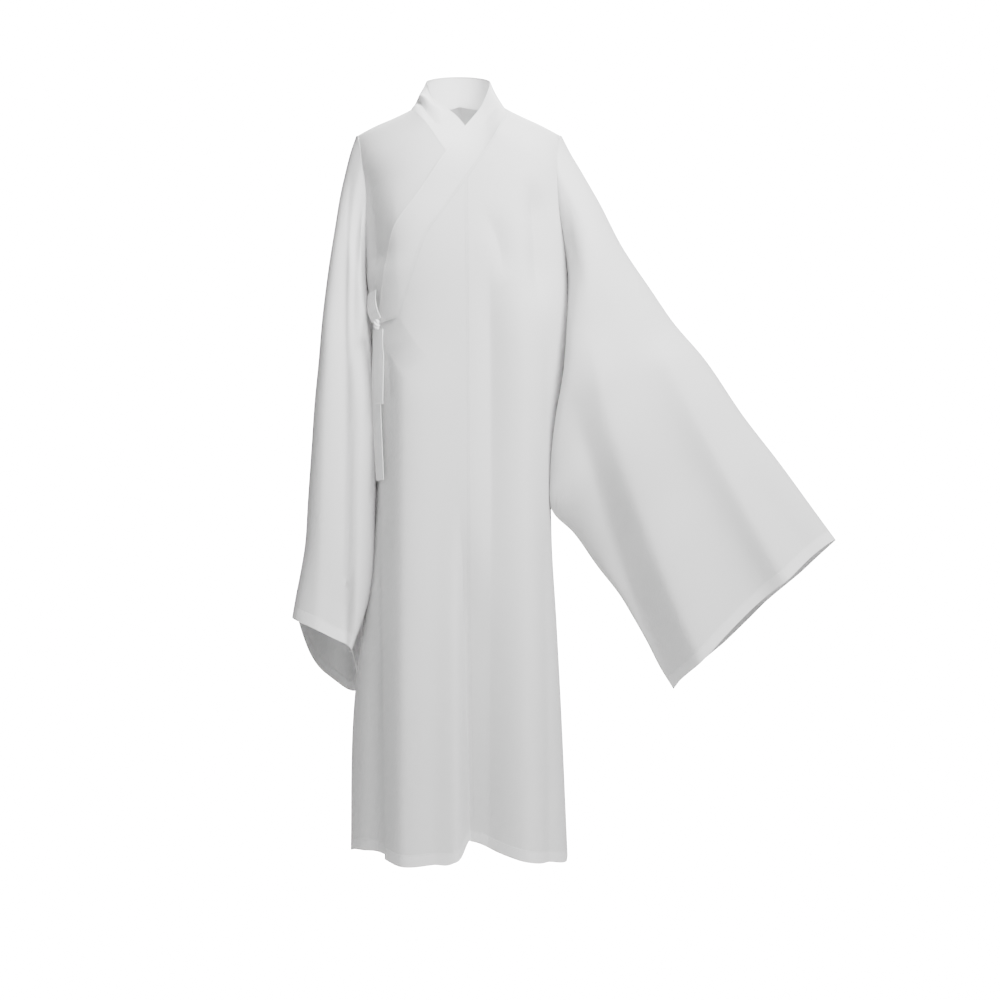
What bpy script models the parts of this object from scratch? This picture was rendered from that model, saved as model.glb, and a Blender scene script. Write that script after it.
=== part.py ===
"""A worn hanfu robe: straight body, wide sleeves, crossed collar band and side ties.

Every cloth piece is a thin wall on one shared body surface or on a sleeve surface, so that
neighbouring pieces meet along the same seam points. Metres, +Z up, the front faces -Y and the
wearer's left is +X. The origin is the middle of the neck's base, where the shoulders hold it.
"""
import math

import bmesh
import bpy
import numpy as np

# ---- driving sizes ---------------------------------------------------------------------------
WALL = 0.0018          # thickness of the cloth wall
SEAM = 0.00025         # what each piece stands back from a seam
OVERLAP_LIFT = 0.0055  # how far the over front lies outside the under front
ROUNDING = 0.085       # height over which the shoulder rolls from its ridge into the chest
SQUARENESS = 2.5       # exponent of the body's plan section: 2 is an ellipse
SHOULDER_HALF = 0.187  # shoulder tip from the middle
ARMHOLE_DROP = 0.3035  # length of the armhole edge, down the surface
ARMHOLE_GAPE = 0.50    # how far the armhole opens to front and back, in depths of the body
TIP_GAPE = 0.25        # the same at the shoulder's tip
ARM_CLEAR = 0.012      # how far a sleeve stands off the body below its armhole
TIE_WIDTH = 0.017

# Plan sections of the body: height, half width to the wearer's left and right, depth to the
# front and the back.
SECTIONS = (
    # z,     left,   right,  front,  back
    (0.060, 0.187, 0.187, 0.098, 0.100),
    (-0.05, 0.187, 0.187, 0.106, 0.105),
    (-0.15, 0.190, 0.180, 0.118, 0.110),
    (-0.25, 0.194, 0.170, 0.124, 0.106),
    (-0.36, 0.196, 0.160, 0.122, 0.098),
    (-0.47, 0.190, 0.155, 0.118, 0.094),
    (-0.56, 0.177, 0.151, 0.118, 0.098),
    (-0.66, 0.167, 0.150, 0.122, 0.106),
    (-0.76, 0.167, 0.156, 0.128, 0.114),
    (-0.92, 0.176, 0.172, 0.138, 0.124),
    (-1.05, 0.183, 0.187, 0.146, 0.134),
    (-1.34, 0.196, 0.194, 0.160, 0.150),
)
# The shoulder ridge: distance from the middle and height.
RIDGE = ((0.0, 0.048), (0.045, 0.030), (0.080, 0.003), (0.110, -0.012), (0.150, -0.028), (0.187, -0.045))

# Folds, as soft troughs (depth < 0) and ridges (depth > 0) along a bowed line in front view.
# Columns: x and z at the upper end, x and z at the lower end, bow, width on the left and right
# of the line, depth at the upper and lower end, share of the length over which each end fades.
FRONT_FOLDS = (
    (-0.084, -0.34, -0.080, -1.34, 0.000, 0.038, 0.060, 0.016, 0.026, 0.20, 0.0),
    (-0.136, -0.50, -0.142, -1.34, 0.000, 0.020, 0.020, -0.003, -0.008, 0.30, 0.0),
    (0.004, -0.66, 0.020, -1.34, 0.000, 0.0085, 0.050, -0.004, -0.062, 0.35, 0.0),
    (-0.004, -0.70, -0.002, -1.34, 0.000, 0.045, 0.010, 0.002, 0.014, 0.4, 0.0),
    (0.036, -0.185, 0.080, -0.320, 0.012, 0.016, 0.020, -0.005, -0.009, 0.5, 0.3),
    (0.056, -0.280, 0.060, -0.900, 0.000, 0.020, 0.020, -0.010, -0.008, 0.25, 0.3),
    (0.060, -0.72, 0.062, -1.34, 0.000, 0.030, 0.035, -0.005, -0.014, 0.4, 0.0),
    (0.106, -0.270, 0.116, -1.34, 0.000, 0.030, 0.036, 0.009, 0.014, 0.15, 0.0),
    (0.150, -0.60, 0.160, -1.34, 0.000, 0.018, 0.018, -0.003, -0.007, 0.3, 0.0),
    (0.114, -0.165, 0.158, -0.340, 0.008, 0.014, 0.014, -0.008, -0.009, 0.3, 0.3),
    (-0.030, -0.50, -0.034, -1.34, 0.000, 0.035, 0.035, -0.002, -0.006, 0.4, 0.0),
)
BACK_FOLDS = (
    (-0.110, -0.30, -0.125, -1.34, 0.004, 0.022, 0.026, -0.005, -0.014, 0.3, 0.0),
    (-0.060, -0.42, -0.072, -1.34, 0.000, 0.026, 0.024, 0.003, 0.013, 0.4, 0.0),
    (-0.012, -0.20, -0.020, -1.34, -0.004, 0.024, 0.030, -0.006, -0.016, 0.3, 0.0),
    (0.050, -0.36, 0.048, -1.34, 0.000, 0.026, 0.026, 0.003, 0.012, 0.4, 0.0),
    (0.104, -0.26, 0.120, -1.34, 0.004, 0.024, 0.022, -0.005, -0.015, 0.3, 0.0),
    (0.090, -0.12, 0.030, -0.34, 0.010, 0.018, 0.018, -0.005, -0.004, 0.3, 0.4),
)

# The collar band, from the shoulder ridge down each front: its seam in front view, its free edge,
# and how much the edge stands off the chest (1: at the given y, 0: on the chest).
OVER_BAND = (
    # seam x, seam z,  edge x,   edge y,  edge z, stand
    (0.0790, 0.0030, 0.0565, 0.000, 0.0535, 1.0),
    (0.0815, -0.0240, 0.0530, -0.022, 0.0340, 1.0),
    (0.0680, -0.0600, 0.0400, -0.052, -0.0050, 1.0),
    (0.0489, -0.0950, 0.0121, -0.090, -0.0500, 1.0),
    (0.0300, -0.1245, -0.0090, -0.111, -0.0830, 1.0),
    (0.0112, -0.1530, -0.0330, -0.122, -0.1200, 0.6),
    (-0.0248, -0.2045, -0.0720, -0.120, -0.1800, 0.0),
    (-0.0510, -0.2410, -0.1032, -0.120, -0.2250, 0.0),
    (-0.0750, -0.3080, -0.1220, -0.120, -0.3000, 0.0),
    (-0.0981, -0.3830, -0.1340, -0.120, -0.3920, 0.0),
)
UNDER_BAND = (
    (-0.0880, 0.0010, -0.0600, 0.000, 0.0550, 1.0),
    (-0.0760, -0.0160, -0.0512, -0.020, 0.0350, 1.0),
    (-0.0490, -0.0520, -0.0278, -0.045, 0.0020, 1.0),
    (-0.0258, -0.0870, 0.0000, -0.066, -0.0270, 1.0),
    (0.0020, -0.1250, 0.0300, -0.086, -0.0700, 1.0),
    (0.0320, -0.1700, 0.0620, -0.104, -0.1180, 0.7),
    (0.0600, -0.2220, 0.0950, -0.110, -0.1800, 0.0),
    (0.0780, -0.2850, 0.1140, -0.110, -0.2850, 0.0),
)
NECK_HALF_DEPTH = 0.062    # neckline behind the shoulder ridge
COLLAR_HALF_DEPTH = 0.048  # collar's upper edge behind the ridge
COLLAR_RISE = 0.024        # rise of the collar's upper edge to the middle of the back
OVER_EDGE_BELOW = ((-0.136, -0.3930), (-0.134, -0.50), (-0.126, -0.80), (-0.1150, -1.3300))
CENTRE_SEAM = ((0.0157, -0.1460), (0.0170, -0.40), (0.0200, -0.80), (0.0310, -1.3300))
UNDER_EDGE_BELOW = ((0.1130, -0.3100), (0.1120, -0.60), (0.1100, -1.3300))

# Hem heights across the front, at x; the over front's hem rises beside its deep fold.
OVER_HEM = ((-0.118, -1.306), (-0.084, -1.312), (-0.036, -1.309), (-0.006, -1.307), (0.004, -1.300), (0.012, -1.288),
            (0.030, -1.287), (0.080, -1.300), (0.139, -1.318), (0.160, -1.322), (0.196, -1.338))
UNDER_HEM = ((-0.194, -1.321), (-0.186, -1.312), (-0.160, -1.303), (-0.118, -1.302), (-0.06, -1.306), (0.004, -1.300), (0.014, -1.280),
             (0.030, -1.276), (0.110, -1.304))
BACK_HEM = ((-0.194, -1.322), (-0.10, -1.330), (0.0, -1.334), (0.10, -1.336), (0.196, -1.338))

# Folds of the under front: the over front's shallow ones, with no deep fold.
UNDER_FOLDS = FRONT_FOLDS[:2] + FRONT_FOLDS[4:]
UNDER_RECESS = 0.080   # how far the hidden part of the under front hangs inside at its hem

# Sleeves in front view: x, z and, where it isn't 0, y. The upper edge lies along the arm and the
# lower edge is the hanging fold.
LEFT_UPPER = ((0.187, -0.045), (0.2016, -0.074), (0.2190, -0.104), (0.2340, -0.131), (0.2530, -0.165),
              (0.2925, -0.2412), (0.3456, -0.3204), (0.3852, -0.378), (0.4392, -0.441),
              (0.5121, -0.5472), (0.5787, -0.6336), (0.639, -0.7164), (0.6786, -0.7704))
LEFT_LOWER = ((0.1965, -0.310, 0.000), (0.1925, -0.350, -0.020), (0.1880, -0.410, -0.050),
              (0.1835, -0.466, -0.058), (0.169, -0.556, -0.058), (0.1620, -0.655, -0.048), (0.1655, -0.716, -0.040),
              (0.205, -0.757, -0.020), (0.2484, -0.817, 0.0), (0.2916, -0.873, 0.0), (0.312, -0.907, 0.0),
              (0.338, -0.953, 0.0), (0.362, -1.000, 0.0), (0.386, -1.0386, 0.0))
RIGHT_UPPER = ((-0.187, -0.045), (-0.195, -0.068), (-0.2077, -0.127), (-0.2196, -0.207),
               (-0.232, -0.293), (-0.241, -0.371), (-0.248, -0.455), (-0.254, -0.517),
               (-0.260, -0.610), (-0.266, -0.698), (-0.271, -0.779), (-0.279, -0.830),
               (-0.286, -0.868), (-0.292, -0.9065))
RIGHT_LOWER = ((-0.170, -0.310, 0.0), (-0.1635, -0.360, 0.004), (-0.1600, -0.420, 0.016),
               (-0.1540, -0.520, 0.045), (-0.152, -0.640, 0.050), (-0.159, -0.760, 0.050), (-0.171, -0.860, 0.050),
               (-0.183, -0.930, 0.038), (-0.194, -0.972, 0.020))
# Sleeve sections by share of the length: where the thickest place lies between the upper and the
# lower edge, depth to the front and back there, how far each face's middle drops, and how far the
# front one leans aside.
LEFT_SECTIONS = (
    # at,  place, front, back,  front drop, back drop, lean, roundness of the quarters (less is squarer)
    (0.00, 0.42, 0.058, 0.056, 0.000, 0.000, 0.000, 1.00),
    (0.12, 0.36, 0.062, 0.060, 0.000, 0.000, 0.000, 1.00),
    (0.35, 0.34, 0.062, 0.060, 0.000, 0.000, 0.000, 1.00),
    (0.70, 0.40, 0.050, 0.052, 0.000, 0.000, 0.000, 1.00),
    (1.00, 0.46, 0.036, 0.042, -0.012, 0.006, 0.000, 1.00),
)
RIGHT_SECTIONS = (
    (0.00, 0.46, 0.058, 0.056, 0.000, 0.000, 0.000, 1.00),
    (0.15, 0.48, 0.078, 0.076, 0.000, 0.000, 0.008, 0.76),
    (0.40, 0.50, 0.100, 0.096, 0.000, 0.000, 0.008, 0.62),
    (0.56, 0.50, 0.108, 0.104, 0.000, 0.008, 0.008, 0.61),
    (0.74, 0.50, 0.113, 0.111, 0.000, 0.026, 0.018, 0.60),
    (1.00, 0.50, 0.120, 0.120, -0.008, 0.105, 0.010, 0.55),
)
LEFT_FRONT = (
    (0.2061, -0.3805, 0.429, -0.985, -0.011, 0.042, 0.080, 0.012, 0.036, 0.25, 0.0),
    (0.183, -0.486, 0.338, -0.945, 0.000, 0.022, 0.025, -0.006, -0.012, 0.30, 0.0),
    (0.338, -0.398, 0.577, -0.839, -0.005, 0.042, 0.060, 0.005, 0.026, 0.30, 0.0),
    (0.500, -0.620, 0.640, -0.815, 0.000, 0.030, 0.020, -0.003, -0.006, 0.40, 0.0),
)
LEFT_BACK = (
    (0.215, -0.380, 0.400, -1.000, 0.010, 0.040, 0.070, 0.008, 0.020, 0.25, 0.0),
    (0.260, -0.330, 0.470, -0.930, 0.010, 0.034, 0.030, -0.005, -0.008, 0.25, 0.0),
    (0.320, -0.360, 0.560, -0.880, -0.015, 0.040, 0.050, 0.004, 0.016, 0.25, 0.0),
    (0.430, -0.480, 0.620, -0.830, 0.000, 0.030, 0.030, -0.004, -0.006, 0.3, 0.0),
)
RIGHT_FRONT = (
    (-0.188, -0.050, -0.182, -0.300, 0.006, 0.012, 0.014, -0.010, -0.010, 0.1, 0.4),
    (-0.205, -0.110, -0.205, -0.900, 0.006, 0.014, 0.016, -0.005, -0.007, 0.2, 0.0),
    (-0.225, -0.300, -0.240, -0.930, 0.000, 0.020, 0.020, 0.004, 0.006, 0.2, 0.0),
)
RIGHT_BACK = (
    (-0.200, -0.120, -0.215, -1.040, 0.006, 0.018, 0.016, -0.006, -0.010, 0.2, 0.0),
    (-0.225, -0.300, -0.250, -1.000, 0.000, 0.020, 0.020, 0.005, 0.007, 0.2, 0.0),
)

# Ties, at the wearer's right: paths in front view, with the distance off the body surface.
SIDE_TIE = ((-0.1490, -0.333, 0.0028), (-0.1462, -0.350, 0.0074), (-0.1410, -0.370, 0.0130),
            (-0.1362, -0.3860, 0.0135))
FRONT_TAIL = ((-0.1315, -0.4034, 0.0150), (-0.1325, -0.425, 0.0145), (-0.1305, -0.470, 0.0140),
              (-0.1290, -0.532, 0.0135))
BACK_TAIL = ((-0.1345, -0.4034, 0.0112), (-0.1400, -0.440, 0.0105), (-0.1410, -0.500, 0.0105),
             (-0.1380, -0.580, 0.0105), (-0.1320, -0.664, 0.0105))
KNOT = (-0.1330, -0.3945, 0.0122)      # x, z and distance off the surface
KNOT_HALF = (0.0095, 0.0056, 0.0085)   # half width, depth and height

# Nodes along the shared edges.
ARMHOLE_NODES = 13
SIDE_NODES = 15
SHOULDER_NODES = 10
NECK_NODES = 13
OVER_UPPER_NODES = 10
UNDER_NODES = 13
BAND_LOWER_NODES = 8
LINE_POINTS = 1201
BAND_COLUMNS = 4
SLEEVE_ROWS = 19

# ---- small helpers ----------------------------------------------------------------------------


def curve(table, q, column=1):
    """A smooth curve through a table's rows, read at q along its first column."""
    rows = sorted(table, key=lambda row: row[0])
    x = np.array([row[0] for row in rows])
    y = np.array([row[column] for row in rows])
    slope = np.gradient(y, x)
    q = np.clip(q, x[0], x[-1])
    i = np.clip(np.searchsorted(x, q, side="right") - 1, 0, len(x) - 2)
    h = x[i + 1] - x[i]
    t = (q - x[i]) / h
    return ((2 * t**3 - 3 * t**2 + 1) * y[i] + (t**3 - 2 * t**2 + t) * h * slope[i]
            + (3 * t**2 - 2 * t**3) * y[i + 1] + (t**3 - t**2) * h * slope[i + 1])


def along(points, count):
    """Points evenly spaced by length on a smooth line through the given ones."""
    points = np.array(points, float)
    length = np.concatenate([[0], np.cumsum(np.linalg.norm(np.diff(points, axis=0), axis=1))])
    at = np.linspace(0, length[-1], count)
    return np.stack([curve(list(zip(length, points[:, c])), at) for c in range(points.shape[1])], axis=1)


def ease(t):
    t = np.clip(t, 0, 1)
    return t * t * (3 - 2 * t)


def fold_height(table, x, z):
    """Sum of a table's troughs and ridges at points of the front view."""
    total = np.zeros_like(x)
    for x0, z0, x1, z1, bow, left, right, deep0, deep1, fade0, fade1 in table:
        span = math.hypot(x1 - x0, z1 - z0)
        ux, uz = (x1 - x0) / span, (z1 - z0) / span
        t = ((x - x0) * ux + (z - z0) * uz) / span
        tc = np.clip(t, 0, 1)
        d = ux * (z - z0) - uz * (x - x0) - bow * 4 * tc * (1 - tc)
        shape = np.exp(-(np.abs(d) / np.where(d < 0, left, right)) ** 1.6)
        ends = ease(t / fade0) * (ease((1 - t) / fade1) if fade1 else 1.0)
        total += (deep0 + (deep1 - deep0) * tc) * shape * ends
    return total


# ---- the body surface -------------------------------------------------------------------------


def plan(a):
    """Unit plan section at angle a: 0 is the wearer's left, -pi/2 the front."""
    c, s = np.cos(a), np.sin(a)
    r = (np.abs(c) ** SQUARENESS + np.abs(s) ** SQUARENESS) ** (-1 / SQUARENESS)
    return r * c, r * s


def angle_of_depth(ys):
    xs = (1 - np.abs(ys) ** SQUARENESS) ** (1 / SQUARENESS)
    return np.arctan2(ys, xs)


def body(a, w, front_folds=FRONT_FOLDS):
    """Point of the body surface at plan angle a and w metres down from the shoulder ridge."""
    xs, ys = plan(a)
    turn = np.clip(w / ROUNDING, 0, math.pi / 2)
    drop = ROUNDING * (1 - np.cos(turn)) + np.maximum(w - ROUNDING * math.pi / 2, 0)
    z = curve(RIDGE, np.abs(xs) * SHOULDER_HALF) - drop
    left, right = curve(SECTIONS, z, 1), curve(SECTIONS, z, 2)
    front, back = curve(SECTIONS, z, 3), curve(SECTIONS, z, 4)
    x = xs * ((left + right) + (left - right) * xs) / 2
    y = ys * ((back + front) + (back - front) * ys) / 2 * np.sin(turn)
    nx, ny = np.sign(xs) * np.abs(xs) ** 1.5 / SHOULDER_HALF, np.sign(ys) * np.abs(ys) ** 1.5 / 0.12
    size = np.hypot(nx, ny)
    side = np.clip(np.abs(ys) / 0.35, 0, 1)
    fold = np.where(ys < 0, fold_height(front_folds, x, z), fold_height(BACK_FOLDS, x, z)) * ease(side)
    return np.stack([x + nx / size * fold, y + ny / size * fold, z], axis=-1)


def body_normal(a, w, front_folds=FRONT_FOLDS):
    da, dw = 0.004, 0.0012
    across = body(a + da, w, front_folds) - body(a - da, w, front_folds)
    down = body(a, w + dw, front_folds) - body(a, np.maximum(w - dw, 0), front_folds)
    n = np.cross(down, across)
    return n / np.linalg.norm(n, axis=-1, keepdims=True)


def down_to(a, z):
    """How far down the surface height z lies, at plan angle a."""
    xs, _ = plan(a)
    drop = np.maximum(curve(RIDGE, np.abs(xs) * SHOULDER_HALF) - z, 0)
    turn = np.arccos(np.clip(1 - drop / ROUNDING, 0, 1))
    return np.where(drop < ROUNDING, turn * ROUNDING, drop - ROUNDING + ROUNDING * math.pi / 2)


def at_front(x, z):
    """Plan angle and distance down of a front point given in front view."""
    x, z = np.asarray(x, float), np.asarray(z, float)
    left, right = curve(SECTIONS, z, 1), curve(SECTIONS, z, 2)
    xs = x / np.where(x > 0, left, right)
    for _ in range(6):
        xs = np.clip(2 * x / ((left + right) + (left - right) * xs), -1, 1)
    a = -np.arctan2((1 - np.abs(xs) ** SQUARENESS) ** (1 / SQUARENESS), xs)
    return np.stack([a, down_to(a, z)], axis=-1)


def over_lift(aw):
    """The over front's distance outside the under front: none at its shoulder and side seam."""
    a, w = aw[..., 0], aw[..., 1]
    xs, _ = plan(a)
    return OVERLAP_LIFT * ease((w - 0.004) / 0.075) * ease((0.99 - xs) / 0.38)


# ---- shared edges, as rows of (angle, distance down) --------------------------------------------


def armhole_edge(side, face):
    """Armhole and side seam; side is +1 at the wearer's left, face -1 at the front."""
    q = (1 - np.cos(np.linspace(0, math.pi, ARMHOLE_NODES))) / 2
    gape = ARMHOLE_GAPE * np.maximum(np.sin(math.pi * q), 0) ** 0.7 + TIP_GAPE * (1 - q) ** 4
    arm = np.stack([angle_of_depth(face * gape), ARMHOLE_DROP * q], axis=-1)
    hem = curve(BACK_HEM, side * 0.194)
    low = np.linspace(ARMHOLE_DROP, down_to(np.array(0.0), hem), SIDE_NODES + 1)[1:]
    seam = np.stack([np.zeros_like(low), low], axis=-1)
    edge = np.concatenate([arm, seam])
    if side < 0:
        edge[:, 0] = face * math.pi - edge[:, 0]
    return edge


def shoulder_edge(x_neck, side, face):
    """Shoulder seam from the tip to the neck, on the ridge."""
    tip = (1 - TIP_GAPE ** SQUARENESS) ** (1 / SQUARENESS)
    x = np.linspace(tip, abs(x_neck) / SHOULDER_HALF, SHOULDER_NODES) * side
    y = (1 - np.abs(x) ** SQUARENESS) ** (1 / SQUARENESS)
    a = np.arctan2(face * y, x)
    return np.stack([a, np.zeros_like(a)], axis=-1)


def hem_edge(start, end, table, count, spread=None):
    """Hem nodes from one front-view x to another, at the table's heights."""
    x = np.linspace(start, end, count) if spread is None else start + (end - start) * np.array(spread)
    return at_front(x, curve(table, x))


def coons(top, bottom, left, right, decay=1):
    """Grid of surface places between four edges with matching corners.

    A higher decay keeps the side edges' bends in angle out of the middle columns.
    """
    v, k = np.meshgrid(np.linspace(0, 1, len(left)), np.linspace(0, 1, len(top)), indexing="ij")
    v, k = v[..., None], k[..., None]
    ends = (1 - v) * top[None] + v * bottom[None]
    bend_left = left[:, None] - (1 - v) * top[0] - v * bottom[0]
    bend_right = right[:, None] - (1 - v) * top[-1] - v * bottom[-1]
    power = np.array([decay, 1])
    return ends + (1 - k) ** power * bend_left + k ** power * bend_right


def stand_back(grid):
    """Draws the grid's outer nodes back from its seams, square to each seam."""
    shift = np.zeros_like(grid)
    step = 0.0005
    every = slice(None)
    for edge, inner in (((0, every), (1, every)), ((-1, every), (-2, every)),
                        ((every, 0), (every, 1)), ((every, -1), (every, -2))):
        a, w = grid[edge][:, 0], grid[edge][:, 1]
        here = body(a, w)
        inward = np.cross(body_normal(a, w), np.gradient(here, axis=0))
        inward /= np.linalg.norm(inward, axis=-1, keepdims=True)
        towards = body(grid[inner][:, 0], grid[inner][:, 1]) - here
        inward *= SEAM * np.sign(np.sum(inward * towards))
        by_a = (body(a + step, w) - body(a - step, w)) / (2 * step)
        by_w = (body(a, w + step) - here) / step
        aa, ww, aw = (by_a ** 2).sum(-1), (by_w ** 2).sum(-1), (by_a * by_w).sum(-1)
        ra, rw = (by_a * inward).sum(-1), (by_w * inward).sum(-1)
        det = aa * ww - aw * aw
        shift[edge] += np.stack([(ra * ww - rw * aw) / det, (rw * aa - ra * aw) / det], axis=-1)
    return grid + shift


# ---- solids --------------------------------------------------------------------------------------


def material(name, colour, roughness):
    mat = bpy.data.materials.new(name)
    mat.use_nodes = True
    shader = mat.node_tree.nodes["Principled BSDF"]
    shader.inputs["Base Color"].default_value = (*colour, 1.0)
    shader.inputs["Roughness"].default_value = roughness
    shader.inputs["Metallic"].default_value = 0.0
    return mat


def cloth(name, outer, inner, mat, tube=False):
    """A closed wall: a flat grid, doubled, with its two faces laid on the given points."""
    rows, cols = outer.shape[:2]
    bm = bmesh.new()
    bmesh.ops.create_grid(bm, x_segments=cols - 1, y_segments=rows - 1, size=0.5)
    for v in bm.verts:
        v.co = (round((v.co.x + 0.5) * (cols - 1)), round((v.co.y + 0.5) * (rows - 1)), 0)
    raised = bmesh.ops.extrude_face_region(bm, geom=bm.faces[:], use_keep_orig=True)["geom"]
    bmesh.ops.translate(bm, verts=[g for g in raised if isinstance(g, bmesh.types.BMVert)], vec=(0, 0, 1))
    if tube:
        ends = [f for f in bm.faces if all(v.co.x < 0.5 for v in f.verts)
                or all(v.co.x > cols - 1.5 for v in f.verts)]
        bmesh.ops.delete(bm, geom=ends, context="FACES")
    for v in bm.verts:
        col, row, layer = (int(round(c)) for c in v.co)
        v.co = (outer if layer else inner)[row, col]
    if tube:
        bmesh.ops.remove_doubles(bm, verts=bm.verts[:], dist=1e-6)
    bmesh.ops.recalc_face_normals(bm, faces=bm.faces[:])
    if bm.calc_volume(signed=True) < 0:
        bmesh.ops.reverse_faces(bm, faces=bm.faces[:])
    mesh = bpy.data.meshes.new(name)
    bm.to_mesh(mesh)
    bm.free()
    mesh.materials.append(mat)
    mesh.shade_smooth()
    mesh.set_sharp_from_angle(angle=math.radians(50))
    obj = bpy.data.objects.new(name, mesh)
    bpy.context.collection.objects.link(obj)
    return obj


def panel(name, grid, mat, lift=None, front_folds=FRONT_FOLDS):
    """A body piece: its wall lies inside the body surface, plus any lift."""
    grid = stand_back(grid)
    n = body_normal(grid[..., 0], grid[..., 1], front_folds)
    outer = body(grid[..., 0], grid[..., 1], front_folds)
    if lift is not None:
        outer = outer + n * lift(grid)[..., None]
    return cloth(name, outer, outer - n * WALL, mat)


for old in list(bpy.data.objects):
    bpy.data.objects.remove(old, do_unlink=True)

robe_cloth = material("robe_cloth", (0.86, 0.86, 0.86), 0.72)
collar_cloth = material("collar_cloth", (0.90, 0.90, 0.90), 0.70)
tie_cloth = material("tie_cloth", (0.88, 0.88, 0.88), 0.72)

# ---- seam nodes ------------------------------------------------------------------------------------
lap_columns = 11
over_line = along([row[:2] for row in OVER_BAND], LINE_POINTS)
under_line = along([row[:2] for row in UNDER_BAND], LINE_POINTS)
cross = int(np.argmin(np.hypot(*(over_line - CENTRE_SEAM[0]).T)))     # centre seam meets the band
corner = int(np.argmin(np.hypot(*(over_line - (-0.0248, -0.2045)).T)))


def picks(line, start, end, count):
    """Indices on a seam line, evenly spaced by length on the surface."""
    aw = at_front(line[start:end + 1, 0], line[start:end + 1, 1])
    spots = body(aw[:, 0], aw[:, 1])
    length = np.concatenate([[0], np.cumsum(np.linalg.norm(np.diff(spots, axis=0), axis=1))])
    return start + np.searchsorted(length, np.linspace(0, length[-1], count) - 1e-9)


over_high = picks(over_line, 0, cross, OVER_UPPER_NODES)
over_mid = picks(over_line, cross, corner, lap_columns)
over_low = picks(over_line, corner, LINE_POINTS - 1, BAND_LOWER_NODES)
under_all = picks(under_line, 0, LINE_POINTS - 1, UNDER_NODES)
rows = ARMHOLE_NODES + SIDE_NODES

# ---- over front ------------------------------------------------------------------------------------
centre = along(CENTRE_SEAM, rows - OVER_UPPER_NODES + 1)
centre[0] = over_line[cross]
centre[-1, 1] = curve(OVER_HEM, centre[-1, 0])
centre = at_front(centre[:, 0], centre[:, 1])
neck_over = at_front(over_line[over_high, 0], over_line[over_high, 1])
neck_over[0, 1] = 0.0

left = armhole_edge(1, -1)
right = np.concatenate([neck_over, centre[1:]])
top = shoulder_edge(OVER_BAND[0][0], 1, -1)
top[-1] = right[0]
bottom = hem_edge(0.1955, CENTRE_SEAM[-1][0], OVER_HEM, SHOULDER_NODES)
bottom[0], bottom[-1] = left[-1], right[-1]
panel("over_front_main", coons(top, bottom, left, right), robe_cloth, over_lift)

free = np.array(OVER_EDGE_BELOW)
free = along(free, len(centre) - BAND_LOWER_NODES)
free[0, 1] -= 0.0008
free[-1, 1] = curve(OVER_HEM, free[-1, 0])
right = np.concatenate([over_line[over_low], free])
right = at_front(right[:, 0], right[:, 1])
top = at_front(over_line[over_mid, 0], over_line[over_mid, 1])
bottom = hem_edge(CENTRE_SEAM[-1][0], free[-1, 0], OVER_HEM, lap_columns,
                  (0, .08, .13, .17, .21, .28, .40, .55, .70, .86, 1))
bottom[0], bottom[-1] = centre[-1], right[-1]
panel("over_front_lap", coons(top, bottom, centre, right), robe_cloth, over_lift)

# ---- under front -----------------------------------------------------------------------------------


def under_lift(aw):
    """Inside the over front, and further inside towards its hem."""
    xs, _ = plan(aw[..., 0])
    w = aw[..., 1]
    return (-0.003 * ease((xs + 0.85) / 0.25) * ease((w - 0.20) / 0.12)
            - 0.016 * ease((xs + 0.05) / 0.25) * ease((w - 0.16) / 0.10)
            - UNDER_RECESS * ease((xs + 0.50) / 0.40) * ease((w - 0.55) / 0.50))


left = armhole_edge(-1, -1)
free = along(UNDER_EDGE_BELOW, rows - UNDER_NODES)
free[-1, 1] = curve(UNDER_HEM, free[-1, 0])
right = np.concatenate([under_line[under_all], free])
right = at_front(right[:, 0], right[:, 1])
right[0, 1] = 0.0
top = shoulder_edge(UNDER_BAND[0][0], -1, -1)
bottom = hem_edge(-0.1935, free[-1, 0], UNDER_HEM, len(top), (0, .055, .11, .165, .22, .28, .35, .46, .70, 1))
top[0], top[-1] = left[0], right[0]
bottom[0], bottom[-1] = left[-1], right[-1]
panel("under_front", coons(top, bottom, left, right), robe_cloth, under_lift, UNDER_FOLDS)

# ---- back ------------------------------------------------------------------------------------------
round_neck = np.linspace(0, math.pi, NECK_NODES)
neck_mid = (OVER_BAND[0][0] + UNDER_BAND[0][0]) / 2
neck_half = (OVER_BAND[0][0] - UNDER_BAND[0][0]) / 2
neck_x = neck_mid + neck_half * np.cos(round_neck)
xs = np.abs(neck_x) / SHOULDER_HALF
ys = (1 - xs ** SQUARENESS) ** (1 / SQUARENESS)
turn = np.arcsin(np.clip(NECK_HALF_DEPTH * np.sin(round_neck) / (ys * 0.1), 0, 1))
neck_back = np.stack([np.arctan2(ys, neck_x / SHOULDER_HALF), turn * ROUNDING], axis=-1)

left, right = armhole_edge(1, 1), armhole_edge(-1, 1)
top = np.concatenate([shoulder_edge(neck_x[0], 1, 1)[:-1], neck_back,
                      shoulder_edge(neck_x[-1], -1, 1)[-2::-1]])
hem_x = np.linspace(0.1955, -0.1935, len(top))
hem_a = np.linspace(0, math.pi, len(top))
bottom = np.stack([hem_a, down_to(hem_a, curve(BACK_HEM, hem_x))], axis=-1)
bottom[0], bottom[-1] = left[-1], right[-1]
panel("back", coons(top, bottom, left, right, decay=4), robe_cloth)

# ---- collar band -----------------------------------------------------------------------------------


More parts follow.
